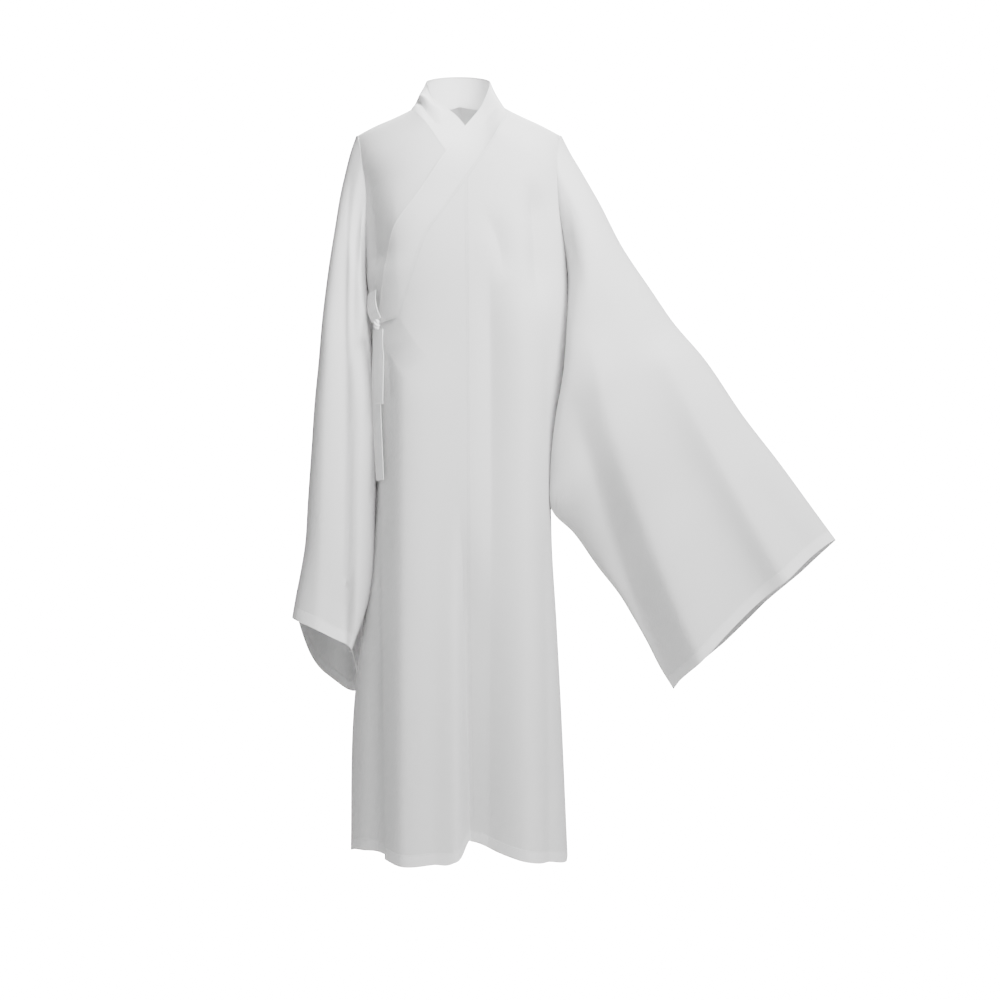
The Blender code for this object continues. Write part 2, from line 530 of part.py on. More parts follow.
def band_rows(table, line, picked, lift):
    """Points across the band at the picked seam nodes, with the seam's own normals."""
    table = np.array(table)
    step = np.concatenate([[0], np.cumsum(np.hypot(*np.diff(table[:, :2], axis=0).T))])
    at = picked / (LINE_POINTS - 1) * step[-1]
    edge = np.stack([curve(list(zip(step, table[:, c])), at) for c in range(2, 6)], axis=-1)
    seam = at_front(line[picked, 0], line[picked, 1])
    seam[picked == 0, 1] = 0.0
    on_chest = at_front(edge[:, 0], edge[:, 2])
    k = np.linspace(0, 1, BAND_COLUMNS)[None, :, None]
    places = seam[:, None] + (on_chest - seam)[:, None] * k
    lying = body(places[..., 0], places[..., 1])
    lying = lying + body_normal(places[..., 0], places[..., 1]) * lift(places)[..., None]
    root = body(seam[:, 0], seam[:, 1])
    root_n = body_normal(seam[:, 0], seam[:, 1])
    root = root + root_n * lift(seam)[:, None]
    standing = root[:, None] + (edge[:, :3] - root)[:, None] * k
    share = edge[:, 3][:, None, None]
    return lying * (1 - share) + standing * share, root_n


over_all = np.concatenate([over_high, over_mid[1:], over_low[1:]])
over_points, over_n = band_rows(OVER_BAND, over_line, over_all, over_lift)
under_points, under_n = band_rows(UNDER_BAND, under_line, under_all, under_lift)
root = body(neck_back[:, 0], neck_back[:, 1])
root_n = body_normal(neck_back[:, 0], neck_back[:, 1])
collar_mid = (OVER_BAND[0][2] + UNDER_BAND[0][2]) / 2
collar_half = (OVER_BAND[0][2] - UNDER_BAND[0][2]) / 2
low = (OVER_BAND[0][4] + UNDER_BAND[0][4]) / 2
rim = np.stack([collar_mid + collar_half * np.cos(round_neck), COLLAR_HALF_DEPTH * np.sin(round_neck),
                low + COLLAR_RISE * np.sin(round_neck)], axis=-1)
k = np.linspace(0, 1, BAND_COLUMNS)[None, :, None]
nape = root[:, None] + (rim - root)[:, None] * k
outer = np.concatenate([over_points[::-1], nape[1:-1], under_points])
seam_n = np.concatenate([over_n[::-1], root_n[1:-1], under_n])
along_d, across_d = np.gradient(outer, axis=0), np.gradient(outer, axis=1)
normal = np.cross(along_d, across_d)
normal /= np.linalg.norm(normal, axis=-1, keepdims=True)
if np.sum(normal[:, 0] * seam_n) < 0:
    normal = -normal
heading = outer[:, 1] - outer[:, 0]
heading /= np.linalg.norm(heading, axis=-1, keepdims=True)
rises = ease(np.sum(heading * seam_n, axis=-1, keepdims=True) / 0.25)
normal[:, 0] = seam_n * (1 - rises) + normal[:, 1] * rises
normal[:, 0] /= np.linalg.norm(normal[:, 0], axis=-1, keepdims=True)
off_seam = np.cross(seam_n, along_d[:, 0])
off_seam /= np.linalg.norm(off_seam, axis=-1, keepdims=True)
outer[:, 0] += off_seam * (1.6 + 2.4 * rises) * SEAM * np.sign(np.sum(off_seam * across_d[:, 0]))
for end, before in ((0, 1), (-1, -2)):
    gap = np.linalg.norm(outer[before] - outer[end], axis=-1, keepdims=True)
    outer[end] += (outer[before] - outer[end]) * SEAM / gap
cloth("collar_band", outer, outer - normal * WALL, collar_cloth)

# ---- sleeves ---------------------------------------------------------------------------------------


def sleeve(name, side, upper, lower, sections, front_folds, back_folds, fall=None):
    """A tube from the armhole's nodes to the cuff, through sections between its two edges.

    The faces' drops are measured along the sleeve, or along fall where it is given.
    """
    share = np.linspace(0, 1, SLEEVE_ROWS)
    high, low_edge = along(upper, SLEEVE_ROWS), along(lower, SLEEVE_ROWS)
    quarter = curve(sections, share, 7)[:, None, None]
    turn = np.linspace(0, 2 * math.pi, 2 * ARMHOLE_NODES - 1)
    c, s = np.cos(turn)[None, :, None], np.sin(turn)[None, :, None]
    t = np.stack([high[:, 0], 0 * share, high[:, 1]], axis=-1)[:, None]
    b = low_edge[:, None, (0, 2, 1)]
    place, front, back, front_drop, back_drop, lean = (curve(sections, share, i)[:, None, None]
                                                       for i in range(1, 7))
    m = t + (b - t) * place
    axis = np.gradient(m[:, 0], axis=0)[:, None]
    axis = axis / np.linalg.norm(axis, axis=-1, keepdims=True) if fall is None else np.array(fall)
    aside, y = np.array([1.0, 0.0, 0.0]), np.array([0.0, 1.0, 0.0])
    power = lambda v: np.maximum(v, 0) ** quarter
    points = (m + (t - m) * power(c) + (b - m) * power(-c) + (axis * front_drop - y * front) * power(s)
              + (axis * back_drop + y * back) * power(-s) + aside * lean * np.maximum(s, 0) ** 2)
    x, z = points[..., 0], points[..., 2]
    fold = np.where(s[..., 0] > 0, -fold_height(front_folds, x, z), fold_height(back_folds, x, z))
    points[..., 1] += fold * ease(np.abs(s[..., 0]) / 0.5)

    edges = [armhole_edge(side, face)[:ARMHOLE_NODES] for face in (-1, 1)]
    ring = np.concatenate([edges[0], edges[1][-2::-1]])
    hole = body(ring[:, 0], ring[:, 1])
    n = body_normal(ring[:, 0], ring[:, 1])
    middle = hole.mean(axis=0)
    inward = middle - hole
    inward -= n * np.sum(inward * n, axis=-1, keepdims=True)
    inward /= np.maximum(np.linalg.norm(inward, axis=-1, keepdims=True), 1e-9)
    hole = hole + n * 0.0008 + inward * 0.0005
    hole[0] = hole[-1] = (hole[0] + hole[-1]) / 2
    points = points + (hole - points[0])[None] * (1 - ease(share / 0.16))[:, None, None]

    clear = ease(share / 0.055) * (1 - ease((share - 0.25) / 0.25))
    sides = ease((0.4 - c[..., 0]) / 0.9) * (1 - 0.8 * ease((-c[..., 0] - 0.45) / 0.5))
    points[..., 0] += side * ARM_CLEAR * clear[:, None] * sides

    along_d = np.gradient(points, axis=0)
    ahead = np.concatenate([points[:, 1:], points[:, 1:2]], axis=1)
    behind = np.concatenate([points[:, -2:-1], points[:, :-1]], axis=1)
    normal = np.cross(along_d, ahead - behind)
    normal /= np.linalg.norm(normal, axis=-1, keepdims=True)
    outward = points - points[:, :-1].mean(axis=1, keepdims=True)
    if np.sum(normal * outward) < 0:
        normal = -normal
    share_n = ease((np.cos(turn) + 0.95) / 0.8)[:, None]
    n[0] = n[-1] = n[0] + n[-1]
    normal[0] = n * share_n + normal[0] * (1 - share_n)
    normal[0] /= np.linalg.norm(normal[0], axis=-1, keepdims=True)
    return cloth(name, points, points - normal * WALL, robe_cloth, tube=True)


sleeve("left_sleeve", 1, LEFT_UPPER, LEFT_LOWER, LEFT_SECTIONS, LEFT_FRONT, LEFT_BACK)
sleeve("right_sleeve", -1, RIGHT_UPPER, RIGHT_LOWER, RIGHT_SECTIONS, RIGHT_FRONT, RIGHT_BACK,
       fall=(0.1, 0.0, -1.0))

# ---- ties ------------------------------------------------------------------------------------------


def ribbon(name, path, count):
    """A flat tie whose middle line follows the body surface at the path's distances."""
    line = along(path, count)
    heading = np.gradient(line[:, :2], axis=0)
    heading /= np.linalg.norm(heading, axis=-1, keepdims=True)
    aside = np.stack([-heading[:, 1], heading[:, 0]], axis=-1)
    k = np.linspace(-0.5, 0.5, 3)[None, :, None] * TIE_WIDTH
    spots = line[:, None, :2] + aside[:, None] * k
    aw = at_front(spots[..., 0], spots[..., 1])
    mid = at_front(line[:, 0], line[:, 1])
    n = body_normal(mid[:, 0], mid[:, 1])[:, None]
    outer = body(aw[..., 0], aw[..., 1]) + n * line[:, 2][:, None, None]
    return cloth(name, outer, outer - n * 0.0016, tie_cloth)


ribbon("tie_side", SIDE_TIE, 7)
ribbon("tie_front_tail", FRONT_TAIL, 9)
ribbon("tie_back_tail", BACK_TAIL, 13)

spot = at_front(KNOT[0], KNOT[1])
n = body_normal(spot[0], spot[1])
bm = bmesh.new()
bmesh.ops.create_cube(bm, size=2)
bmesh.ops.bevel(bm, geom=bm.edges[:], offset=0.55, offset_type="OFFSET", segments=2, profile=0.5, affect="EDGES")
bmesh.ops.scale(bm, verts=bm.verts[:], vec=KNOT_HALF)
knot_mesh = bpy.data.meshes.new("tie_knot")
bm.to_mesh(knot_mesh)
bm.free()
knot_mesh.materials.append(tie_cloth)
knot_mesh.shade_smooth()
knot = bpy.data.objects.new("tie_knot", knot_mesh)
knot.location = body(spot[0], spot[1]) + n * KNOT[2]
knot.rotation_euler = (0, 0, math.atan2(n[1], n[0]) + math.pi / 2)
bpy.context.collection.objects.link(knot)
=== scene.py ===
"""Looks of a worn hanfu robe: thin cloth pieces with creases, hems and stitching.

Every cloth piece is drawn on the same body and sleeve surfaces as its solid, with finer rows and
columns, and takes its place. Metres, +Z up, the front faces -Y and the wearer's left is +X.
"""
import math

import bmesh
import bpy
import numpy as np
from mathutils import Matrix, Vector


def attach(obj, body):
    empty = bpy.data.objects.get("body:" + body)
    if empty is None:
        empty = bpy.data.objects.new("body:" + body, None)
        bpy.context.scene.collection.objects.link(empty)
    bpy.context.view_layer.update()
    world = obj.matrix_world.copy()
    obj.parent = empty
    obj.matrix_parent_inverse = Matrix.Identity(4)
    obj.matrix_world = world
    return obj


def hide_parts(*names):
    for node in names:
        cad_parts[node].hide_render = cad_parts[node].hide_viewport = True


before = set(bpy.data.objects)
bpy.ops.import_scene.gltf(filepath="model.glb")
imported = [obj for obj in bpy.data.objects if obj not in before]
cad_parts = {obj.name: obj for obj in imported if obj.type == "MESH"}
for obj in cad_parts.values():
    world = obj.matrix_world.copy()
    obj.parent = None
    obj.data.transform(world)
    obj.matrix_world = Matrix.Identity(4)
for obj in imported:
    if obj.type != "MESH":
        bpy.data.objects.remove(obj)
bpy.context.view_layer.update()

# ---- driving sizes ----
WALL = 0.0010          # thickness of the cloth
SEAM = 0.00002         # what each piece stands back from a seam
OVERLAP_LIFT = 0.0055  # how far the over front lies outside the body surface
ROUNDING = 0.085       # height over which the shoulder rolls from its ridge into the chest
SQUARENESS = 2.5       # exponent of the body's plan section: 2 is an ellipse
SHOULDER_HALF = 0.187  # shoulder tip from the middle
ARMHOLE_DROP = 0.3035  # length of the armhole edge, down the surface
ARMHOLE_GAPE = 0.50    # how far the armhole opens to front and back, in depths of the body
TIP_GAPE = 0.25        # the same at the shoulder's tip
ARM_CLEAR = 0.012      # how far a sleeve stands off the body below its armhole
REST = 0.0022          # clearance of the hanging sleeve where it rests against the side
REST_BELOW = -0.34     # height below which it does
ROOT_OUT = 0.0008      # how far a sleeve's root stands off the body
ROOT_IN = 0.0005       # and how far inside the armhole's edge it lies
ROOT_BLEND = 0.16      # share of a sleeve's length over which it leaves the armhole's outline
NAPE_TUCK = 0.0013     # how far the collar's root lies inside the back panel behind the neck
NAPE_DIP = 0.0012      # and how far below its edge
UNDER_SIDE = 0.003     # how far the under front lies inside the body surface beside the lap's edge
UNDER_MIDDLE = 0.016   # and how much further from the middle on
UNDER_RECESS = 0.080   # and how much further its hidden part hangs inside at the hem
LAP_STEP = 0.0008      # how much lower the lap's free edge starts than its first point
BODY_DEPTH = 0.12      # usual half depth of the body, for the way its folds point
SIDE_FADE = 0.35       # share of the depth over which folds grow from none at the side seams
FOLD_PROFILE = 1.6     # exponent of a fold's profile: 2 is a bell curve
HEM_SIDE = 0.194       # distance from the middle where the side seams' hem height is read
HEM_LEFT, HEM_RIGHT = 0.1955, -0.1935   # the side seams at the hem, in front view
TIE_WIDTH = 0.0185     # width of the ties' ribbon, in front view
FLOOR = -1.75          # height of the floor
THREAD = 0.0009        # spacing of the weave's threads
WEAVE_DEPTH = 0.00006  # height of the threads
HEM_STEP = 0.0004      # step at a turned hem
STITCH_DEPTH = 0.00025  # how deep the stitches pull in
STITCH_STEP = 0.0016   # half the distance from one stitch to the next
PUCKER_DEPTH = 0.0010  # height of the puckers at a seam
PUCKER_REACH = 0.016   # how far from the seam they die away
STITCH_INSET = 0.0015  # distance of a hem's stitches from its inner edge
TOPSTITCH = 0.0022     # distance of a seam's stitches from the seam
BAND_HEM = 0.0022      # width of the stitched edge on the band and ties
NO_EDGE = 9.0          # distance given where a piece has no such edge
LIE_START = 2.0        # added to the cloth's own places, so that they stay above 0
MERGE = 0.000001       # distance at which a tube's two edges are merged

# Plan sections of the body: height, half width to the wearer's left and right, depth to the
# front and the back.
SECTIONS = (
    # z,     left,   right,  front,  back
    (0.060, 0.187, 0.187, 0.098, 0.100),
    (-0.05, 0.187, 0.187, 0.106, 0.105),
    (-0.15, 0.190, 0.180, 0.118, 0.110),
    (-0.25, 0.194, 0.170, 0.124, 0.106),
    (-0.36, 0.196, 0.160, 0.122, 0.098),
    (-0.47, 0.190, 0.155, 0.118, 0.094),
    (-0.56, 0.177, 0.151, 0.118, 0.098),
    (-0.66, 0.167, 0.150, 0.122, 0.106),
    (-0.76, 0.167, 0.156, 0.128, 0.114),
    (-0.92, 0.176, 0.172, 0.138, 0.124),
    (-1.05, 0.183, 0.187, 0.146, 0.134),
    (-1.34, 0.196, 0.194, 0.160, 0.150),
)
# The shoulder ridge: distance from the middle and height.
RIDGE = ((0.0, 0.048), (0.045, 0.030), (0.080, 0.003), (0.110, -0.012), (0.150, -0.028), (0.187, -0.045))

# Folds, as soft troughs (depth < 0) and ridges (depth > 0) along a bowed line in front view.
# Columns: x and z at the upper end, x and z at the lower end, bow, width on the left and right
# of the line, depth at the upper and lower end, share of the length over which each end fades.
FRONT_FOLDS = (
    (-0.084, -0.34, -0.081, -1.34, 0.000, 0.032, 0.060, 0.016, 0.026, 0.20, 0.0),
    (-0.136, -0.50, -0.142, -1.34, 0.000, 0.020, 0.020, -0.003, -0.008, 0.30, 0.0),
    (0.004, -0.66, 0.020, -1.34, 0.000, 0.0085, 0.050, -0.004, -0.062, 0.35, 0.0),
    (-0.004, -0.70, -0.002, -1.34, 0.000, 0.045, 0.010, 0.002, 0.014, 0.4, 0.0),
    (0.036, -0.185, 0.080, -0.330, 0.012, 0.015, 0.022, -0.005, -0.009, 0.5, 0.4),
    (0.056, -0.250, 0.060, -0.900, 0.000, 0.020, 0.022, -0.012, -0.010, 0.25, 0.3),
    (0.060, -0.72, 0.062, -1.34, 0.000, 0.030, 0.035, -0.005, -0.014, 0.4, 0.0),
    (0.106, -0.270, 0.116, -1.34, 0.000, 0.030, 0.036, 0.009, 0.014, 0.15, 0.0),
    (0.150, -0.60, 0.160, -1.34, 0.000, 0.018, 0.018, -0.003, -0.007, 0.3, 0.0),
    (0.124, -0.130, 0.140, -0.380, 0.004, 0.018, 0.030, -0.013, -0.016, 0.3, 0.4),
    (-0.030, -0.50, -0.034, -1.34, 0.000, 0.035, 0.035, -0.002, -0.006, 0.4, 0.0),
    (-0.163, -0.090, -0.147, -0.310, 0.000, 0.012, 0.042, -0.005, -0.014, 0.3, 0.2),
    (-0.108, -0.130, -0.086, -0.460, 0.000, 0.028, 0.080, 0.006, 0.008, 0.3, 0.6),
    (0.150, -0.400, 0.156, -0.640, 0.000, 0.010, 0.012, -0.002, -0.003, 0.3, 0.4),
    (-0.118, -0.430, -0.108, -0.560, 0.003, 0.008, 0.010, -0.002, -0.002, 0.2, 0.5),
)
BACK_FOLDS = (
    (-0.110, -0.30, -0.125, -1.34, 0.004, 0.022, 0.026, -0.007, -0.020, 0.3, 0.0),
    (-0.060, -0.42, -0.072, -1.34, 0.000, 0.026, 0.024, 0.005, 0.018, 0.4, 0.0),
    (-0.012, -0.20, -0.020, -1.34, -0.004, 0.024, 0.030, -0.008, -0.022, 0.3, 0.0),
    (0.050, -0.36, 0.048, -1.34, 0.000, 0.026, 0.026, 0.005, 0.017, 0.4, 0.0),
    (0.104, -0.26, 0.120, -1.34, 0.004, 0.024, 0.022, -0.007, -0.020, 0.3, 0.0),
    (0.090, -0.12, 0.030, -0.34, 0.010, 0.018, 0.018, -0.005, -0.004, 0.3, 0.4),
)

# The collar band, from the shoulder ridge down each front: its seam in front view, its free edge,
# and how much the edge stands off the chest (1: at the given y, 0: on the chest).
OVER_BAND = (
    # seam x, seam z,  edge x,   edge y,  edge z, stand
    (0.0790, 0.0030, 0.0565, 0.000, 0.0535, 1.0),
    (0.0815, -0.0240, 0.0530, -0.022, 0.0340, 1.0),
    (0.0680, -0.0600, 0.0400, -0.052, -0.0050, 1.0),
    (0.0489, -0.0950, 0.0121, -0.090, -0.0500, 1.0),
    (0.0300, -0.1245, -0.0090, -0.111, -0.0830, 1.0),
    (0.0112, -0.1530, -0.0330, -0.122, -0.1200, 0.6),
    (-0.0248, -0.2045, -0.0720, -0.120, -0.1800, 0.0),
    (-0.0510, -0.2410, -0.1032, -0.120, -0.2250, 0.0),
    (-0.0750, -0.3080, -0.1220, -0.120, -0.3000, 0.0),
    (-0.0981, -0.3830, -0.1340, -0.120, -0.3920, 0.0),
)
BAND_CORNER = OVER_BAND[6][:2]   # where the top edge of the lap ends on the band's seam
UNDER_BAND = (
    (-0.0880, 0.0010, -0.0600, 0.000, 0.0550, 1.0),
    (-0.0760, -0.0160, -0.0512, -0.020, 0.0350, 1.0),
    (-0.0490, -0.0520, -0.0278, -0.045, 0.0020, 1.0),
    (-0.0258, -0.0870, 0.0000, -0.066, -0.0270, 1.0),
    (0.0020, -0.1250, 0.0300, -0.086, -0.0700, 1.0),
    (0.0320, -0.1700, 0.0620, -0.104, -0.1180, 0.7),
    (0.0600, -0.2220, 0.0950, -0.110, -0.1800, 0.0),
    (0.0780, -0.2850, 0.1140, -0.110, -0.2850, 0.0),
)
NECK_HALF_DEPTH = 0.062    # neckline behind the shoulder ridge
COLLAR_HALF_DEPTH = 0.048  # collar's upper edge behind the ridge
COLLAR_RISE = 0.024        # rise of the collar's upper edge to the middle of the back
OVER_EDGE_BELOW = ((-0.136, -0.3930), (-0.134, -0.50), (-0.126, -0.80), (-0.1150, -1.3040))
CENTRE_SEAM = ((0.0157, -0.1460), (0.0170, -0.40), (0.0200, -0.80), (0.0310, -1.2870))
UNDER_EDGE_BELOW = ((0.1130, -0.3100), (0.1120, -0.60), (0.1100, -1.3010))

# Hem heights across the front, at x; the over front's hem rises beside its deep fold.
OVER_HEM = ((-0.118, -1.306), (-0.084, -1.312), (-0.036, -1.309), (-0.006, -1.307), (0.004, -1.300),
            (0.012, -1.288), (0.030, -1.287), (0.080, -1.300), (0.139, -1.318), (0.160, -1.322),
            (0.196, -1.338))
UNDER_HEM = ((-0.194, -1.321), (-0.186, -1.312), (-0.160, -1.303), (-0.118, -1.302), (-0.06, -1.306),
             (0.004, -1.300), (0.014, -1.280), (0.030, -1.276), (0.110, -1.304))
BACK_HEM = ((-0.194, -1.322), (-0.10, -1.330), (0.0, -1.334), (0.10, -1.336), (0.196, -1.338))

# Folds of the under front: the over front's, without the deep fold at the centre seam and its ridge.
UNDER_FOLDS = FRONT_FOLDS[:2] + FRONT_FOLDS[4:]

# Sleeves in front view: x, z and, where it isn't 0, y. The upper edge lies along the arm and the
# lower edge is the hanging fold.
LEFT_UPPER = ((0.187, -0.045), (0.2016, -0.074), (0.2190, -0.104), (0.2340, -0.131), (0.2530, -0.165),
              (0.2925, -0.2412), (0.3456, -0.3204), (0.3852, -0.378), (0.4392, -0.441),
              (0.5121, -0.5472), (0.5787, -0.6336), (0.639, -0.7164), (0.6786, -0.7704))
LEFT_LOWER = ((0.1965, -0.310, 0.000), (0.1925, -0.350, -0.020), (0.1880, -0.410, -0.050),
              (0.1835, -0.466, -0.058), (0.169, -0.556, -0.058), (0.1620, -0.655, -0.048),
              (0.1655, -0.716, -0.040), (0.205, -0.757, -0.020), (0.2484, -0.817, 0.0),
              (0.2916, -0.873, 0.0), (0.312, -0.907, 0.0), (0.338, -0.953, 0.0), (0.362, -1.000, 0.0),
              (0.386, -1.0386, 0.0))
RIGHT_UPPER = ((-0.187, -0.045), (-0.195, -0.068), (-0.2077, -0.127), (-0.2196, -0.207),
               (-0.232, -0.293), (-0.241, -0.371), (-0.248, -0.455), (-0.254, -0.517),
               (-0.260, -0.610), (-0.266, -0.698), (-0.271, -0.779), (-0.279, -0.830),
               (-0.286, -0.868), (-0.292, -0.9065))
RIGHT_LOWER = ((-0.170, -0.310, 0.0), (-0.1630, -0.360, 0.014), (-0.1590, -0.420, 0.024),
               (-0.1550, -0.520, 0.045), (-0.154, -0.640, 0.050), (-0.162, -0.760, 0.050),
               (-0.173, -0.860, 0.050), (-0.184, -0.930, 0.038), (-0.194, -0.972, 0.020))
# Sleeve sections by share of the length: where the thickest place lies between the upper and the
# lower edge, depth to the front and back there, how far each face's middle drops, how far the front
# one leans in towards the body, and how round the quarters are.
LEFT_SECTIONS = (
    # at, place, front, back,  front drop, back drop, lean, roundness (less is squarer)
    (0.00, 0.42, 0.058, 0.056, 0.000, 0.000, 0.000, 1.00),
    (0.12, 0.36, 0.062, 0.060, 0.000, 0.000, 0.000, 1.00),
    (0.35, 0.34, 0.062, 0.060, 0.000, 0.000, 0.000, 1.00),
    (0.70, 0.40, 0.050, 0.052, 0.000, 0.000, 0.000, 1.00),
    (1.00, 0.46, 0.036, 0.042, -0.019, 0.007, 0.000, 1.00),
)
RIGHT_SECTIONS = (
    (0.00, 0.46, 0.058, 0.056, 0.000, 0.000, 0.000, 1.00),
    (0.15, 0.48, 0.078, 0.076, 0.000, 0.000, 0.034, 0.70),
    (0.40, 0.50, 0.100, 0.096, 0.000, 0.000, 0.054, 0.58),
    (0.54, 0.50, 0.107, 0.104, 0.000, 0.008, 0.047, 0.58),
    (0.66, 0.50, 0.110, 0.108, 0.000, 0.016, 0.052, 0.56),
    (0.80, 0.50, 0.114, 0.112, 0.000, 0.034, 0.066, 0.56),
    (1.00, 0.50, 0.120, 0.120, -0.008, 0.105, 0.044, 0.55),
)
# Folds of the sleeves' fronts and backs, with the columns of the body's folds.
LEFT_FRONT = (
    (0.2061, -0.3805, 0.429, -0.985, -0.011, 0.036, 0.080, 0.014, 0.038, 0.20, 0.0),
    (0.183, -0.486, 0.338, -0.945, 0.000, 0.022, 0.025, -0.006, -0.012, 0.30, 0.0),
    (0.338, -0.398, 0.577, -0.839, -0.005, 0.034, 0.060, 0.011, 0.030, 0.15, 0.0),
    (0.500, -0.620, 0.640, -0.815, 0.000, 0.030, 0.020, -0.003, -0.006, 0.40, 0.0),
)
LEFT_BACK = (
    (0.215, -0.380, 0.400, -1.000, 0.010, 0.040, 0.070, 0.008, 0.020, 0.25, 0.0),
    (0.260, -0.330, 0.470, -0.930, 0.010, 0.034, 0.030, -0.005, -0.008, 0.25, 0.0),
    (0.320, -0.360, 0.560, -0.880, -0.015, 0.040, 0.050, 0.004, 0.016, 0.25, 0.0),
    (0.430, -0.480, 0.620, -0.830, 0.000, 0.030, 0.030, -0.004, -0.006, 0.3, 0.0),
)
RIGHT_FRONT = (
    (-0.188, -0.050, -0.182, -0.300, 0.006, 0.012, 0.014, -0.010, -0.010, 0.1, 0.4),
    (-0.205, -0.110, -0.205, -0.900, 0.006, 0.014, 0.016, -0.005, -0.007, 0.2, 0.0),
    (-0.225, -0.300, -0.240, -0.930, 0.000, 0.020, 0.020, 0.004, 0.006, 0.2, 0.0),
    (-0.194, -0.360, -0.194, -1.030, 0.000, 0.010, 0.010, -0.004, -0.010, 0.2, 0.0),
    (-0.174, -0.360, -0.174, -1.030, 0.000, 0.015, 0.012, 0.006, 0.013, 0.2, 0.0),
    (-0.194, -0.120, -0.197, -0.500, 0.000, 0.005, 0.005, -0.0016, -0.0024, 0.2, 0.3),
    (-0.187, -0.120, -0.189, -0.480, 0.000, 0.005, 0.005, 0.0012, 0.0020, 0.2, 0.3),
    (-0.176, -0.110, -0.178, -0.520, 0.000, 0.006, 0.006, -0.0020, -0.0035, 0.2, 0.3),
    (-0.165, -0.110, -0.166, -0.470, 0.000, 0.008, 0.008, 0.0030, 0.0050, 0.2, 0.3),
)
RIGHT_BACK = (
    (-0.200, -0.120, -0.215, -1.040, 0.006, 0.018, 0.016, -0.006, -0.010, 0.2, 0.0),
    (-0.225, -0.300, -0.250, -1.000, 0.000, 0.020, 0.020, 0.005, 0.007, 0.2, 0.0),
)
# Creases of the collar where it faces the front, with the same columns.
COLLAR_FOLDS = (
    (-0.084, 0.026, -0.030, -0.046, 0.002, 0.0060, 0.0045, -0.0090, -0.0100, 0.15, 0.2),
    (-0.074, 0.027, -0.022, -0.030, 0.001, 0.0060, 0.0060, 0.0060, 0.0040, 0.2, 0.2),
    (-0.068, 0.056, -0.034, -0.014, 0.003, 0.0070, 0.0160, -0.0060, -0.0090, 0.2, 0.3),
    (0.074, 0.004, 0.040, -0.050, 0.000, 0.0080, 0.0080, -0.0020, -0.0020, 0.3, 0.3),
)

# Ties, at the wearer's right: paths in front view, with the distance off the body surface.
SIDE_TIE = ((-0.1490, -0.333, 0.0028), (-0.1450, -0.350, 0.0074), (-0.1370, -0.370, 0.0130),
            (-0.1305, -0.3860, 0.0135))
FRONT_TAIL = ((-0.1265, -0.4024, 0.0150), (-0.1262, -0.425, 0.0145), (-0.1250, -0.470, 0.0140),
              (-0.1240, -0.532, 0.0135))
BACK_TAIL = ((-0.1285, -0.4024, 0.0112), (-0.1310, -0.440, 0.0105), (-0.1318, -0.500, 0.0105),
             (-0.1290, -0.580, 0.0105), (-0.1240, -0.664, 0.0105))
KNOT = (-0.1275, -0.3944, 0.0160)      # x, z and distance off the surface
KNOT_HALF = (0.0078, 0.0056, 0.0095)   # half width, depth and height

# Nodes along the shared edges.
FINE = 6   # steps between two of the solids' nodes
ARMHOLE_NODES = 12 * FINE + 1
SIDE_NODES = 15 * FINE
SHOULDER_NODES = 9 * FINE + 1
NECK_NODES = 12 * FINE + 1
OVER_UPPER_NODES = 9 * FINE + 1
UNDER_NODES = 12 * FINE + 1
BAND_LOWER_NODES = 7 * FINE + 1
LAP_COLUMNS = 10 * FINE + 1
LINE_POINTS = 2401              # points along a band's seam that nodes are picked from
BAND_COLUMNS = 4 * FINE + 1
ACROSS_BAND = np.linspace(0, 1, BAND_COLUMNS)
SLEEVE_ROWS = 24 * FINE + 1
RING_NODES = 2 * ARMHOLE_NODES - 1
RIBBON_COLUMNS = 13

# ---- small helpers ----


def curve(table, q, column=1):
    """A smooth curve through a table's rows, read at q along its first column."""
    rows = sorted(table, key=lambda row: row[0])
    x = np.array([row[0] for row in rows])
    y = np.array([row[column] for row in rows])
    slope = np.gradient(y, x)
    q = np.clip(q, x[0], x[-1])
    i = np.clip(np.searchsorted(x, q, side="right") - 1, 0, len(x) - 2)
    h = x[i + 1] - x[i]
    t = (q - x[i]) / h
    return ((2 * t**3 - 3 * t**2 + 1) * y[i] + (t**3 - 2 * t**2 + t) * h * slope[i]
            + (3 * t**2 - 2 * t**3) * y[i + 1] + (t**3 - t**2) * h * slope[i + 1])


def lengths(points, axis):
    """Distance along a grid's rows or columns from its first node."""
    step = np.linalg.norm(np.diff(points, axis=axis), axis=-1)
    total = np.cumsum(step, axis=axis)
    first = np.zeros_like(np.take(total, [0], axis=axis))
    return np.concatenate([first, total], axis=axis)


def along(points, count):
    """Points evenly spaced by length on a smooth line through the given ones."""
    points = np.array(points, float)
    length = lengths(points, 0)
    at = np.linspace(0, length[-1], count)
    return np.stack([curve(list(zip(length, points[:, c])), at) for c in range(points.shape[1])], axis=1)


def ease(t):
    """0 to 1 with level ends."""
    t = np.clip(t, 0, 1)
    return t * t * (3 - 2 * t)


def above(value, start, over):
    """0 up to start and 1 from start + over."""
    return ease((value - start) / over)


def below(value, start, over):
    """0 down to start and 1 from start - over."""
    return ease((start - value) / over)


def unit(vectors):
    """The vectors at a length of 1."""
    return vectors / np.maximum(np.linalg.norm(vectors, axis=-1, keepdims=True), 1e-9)


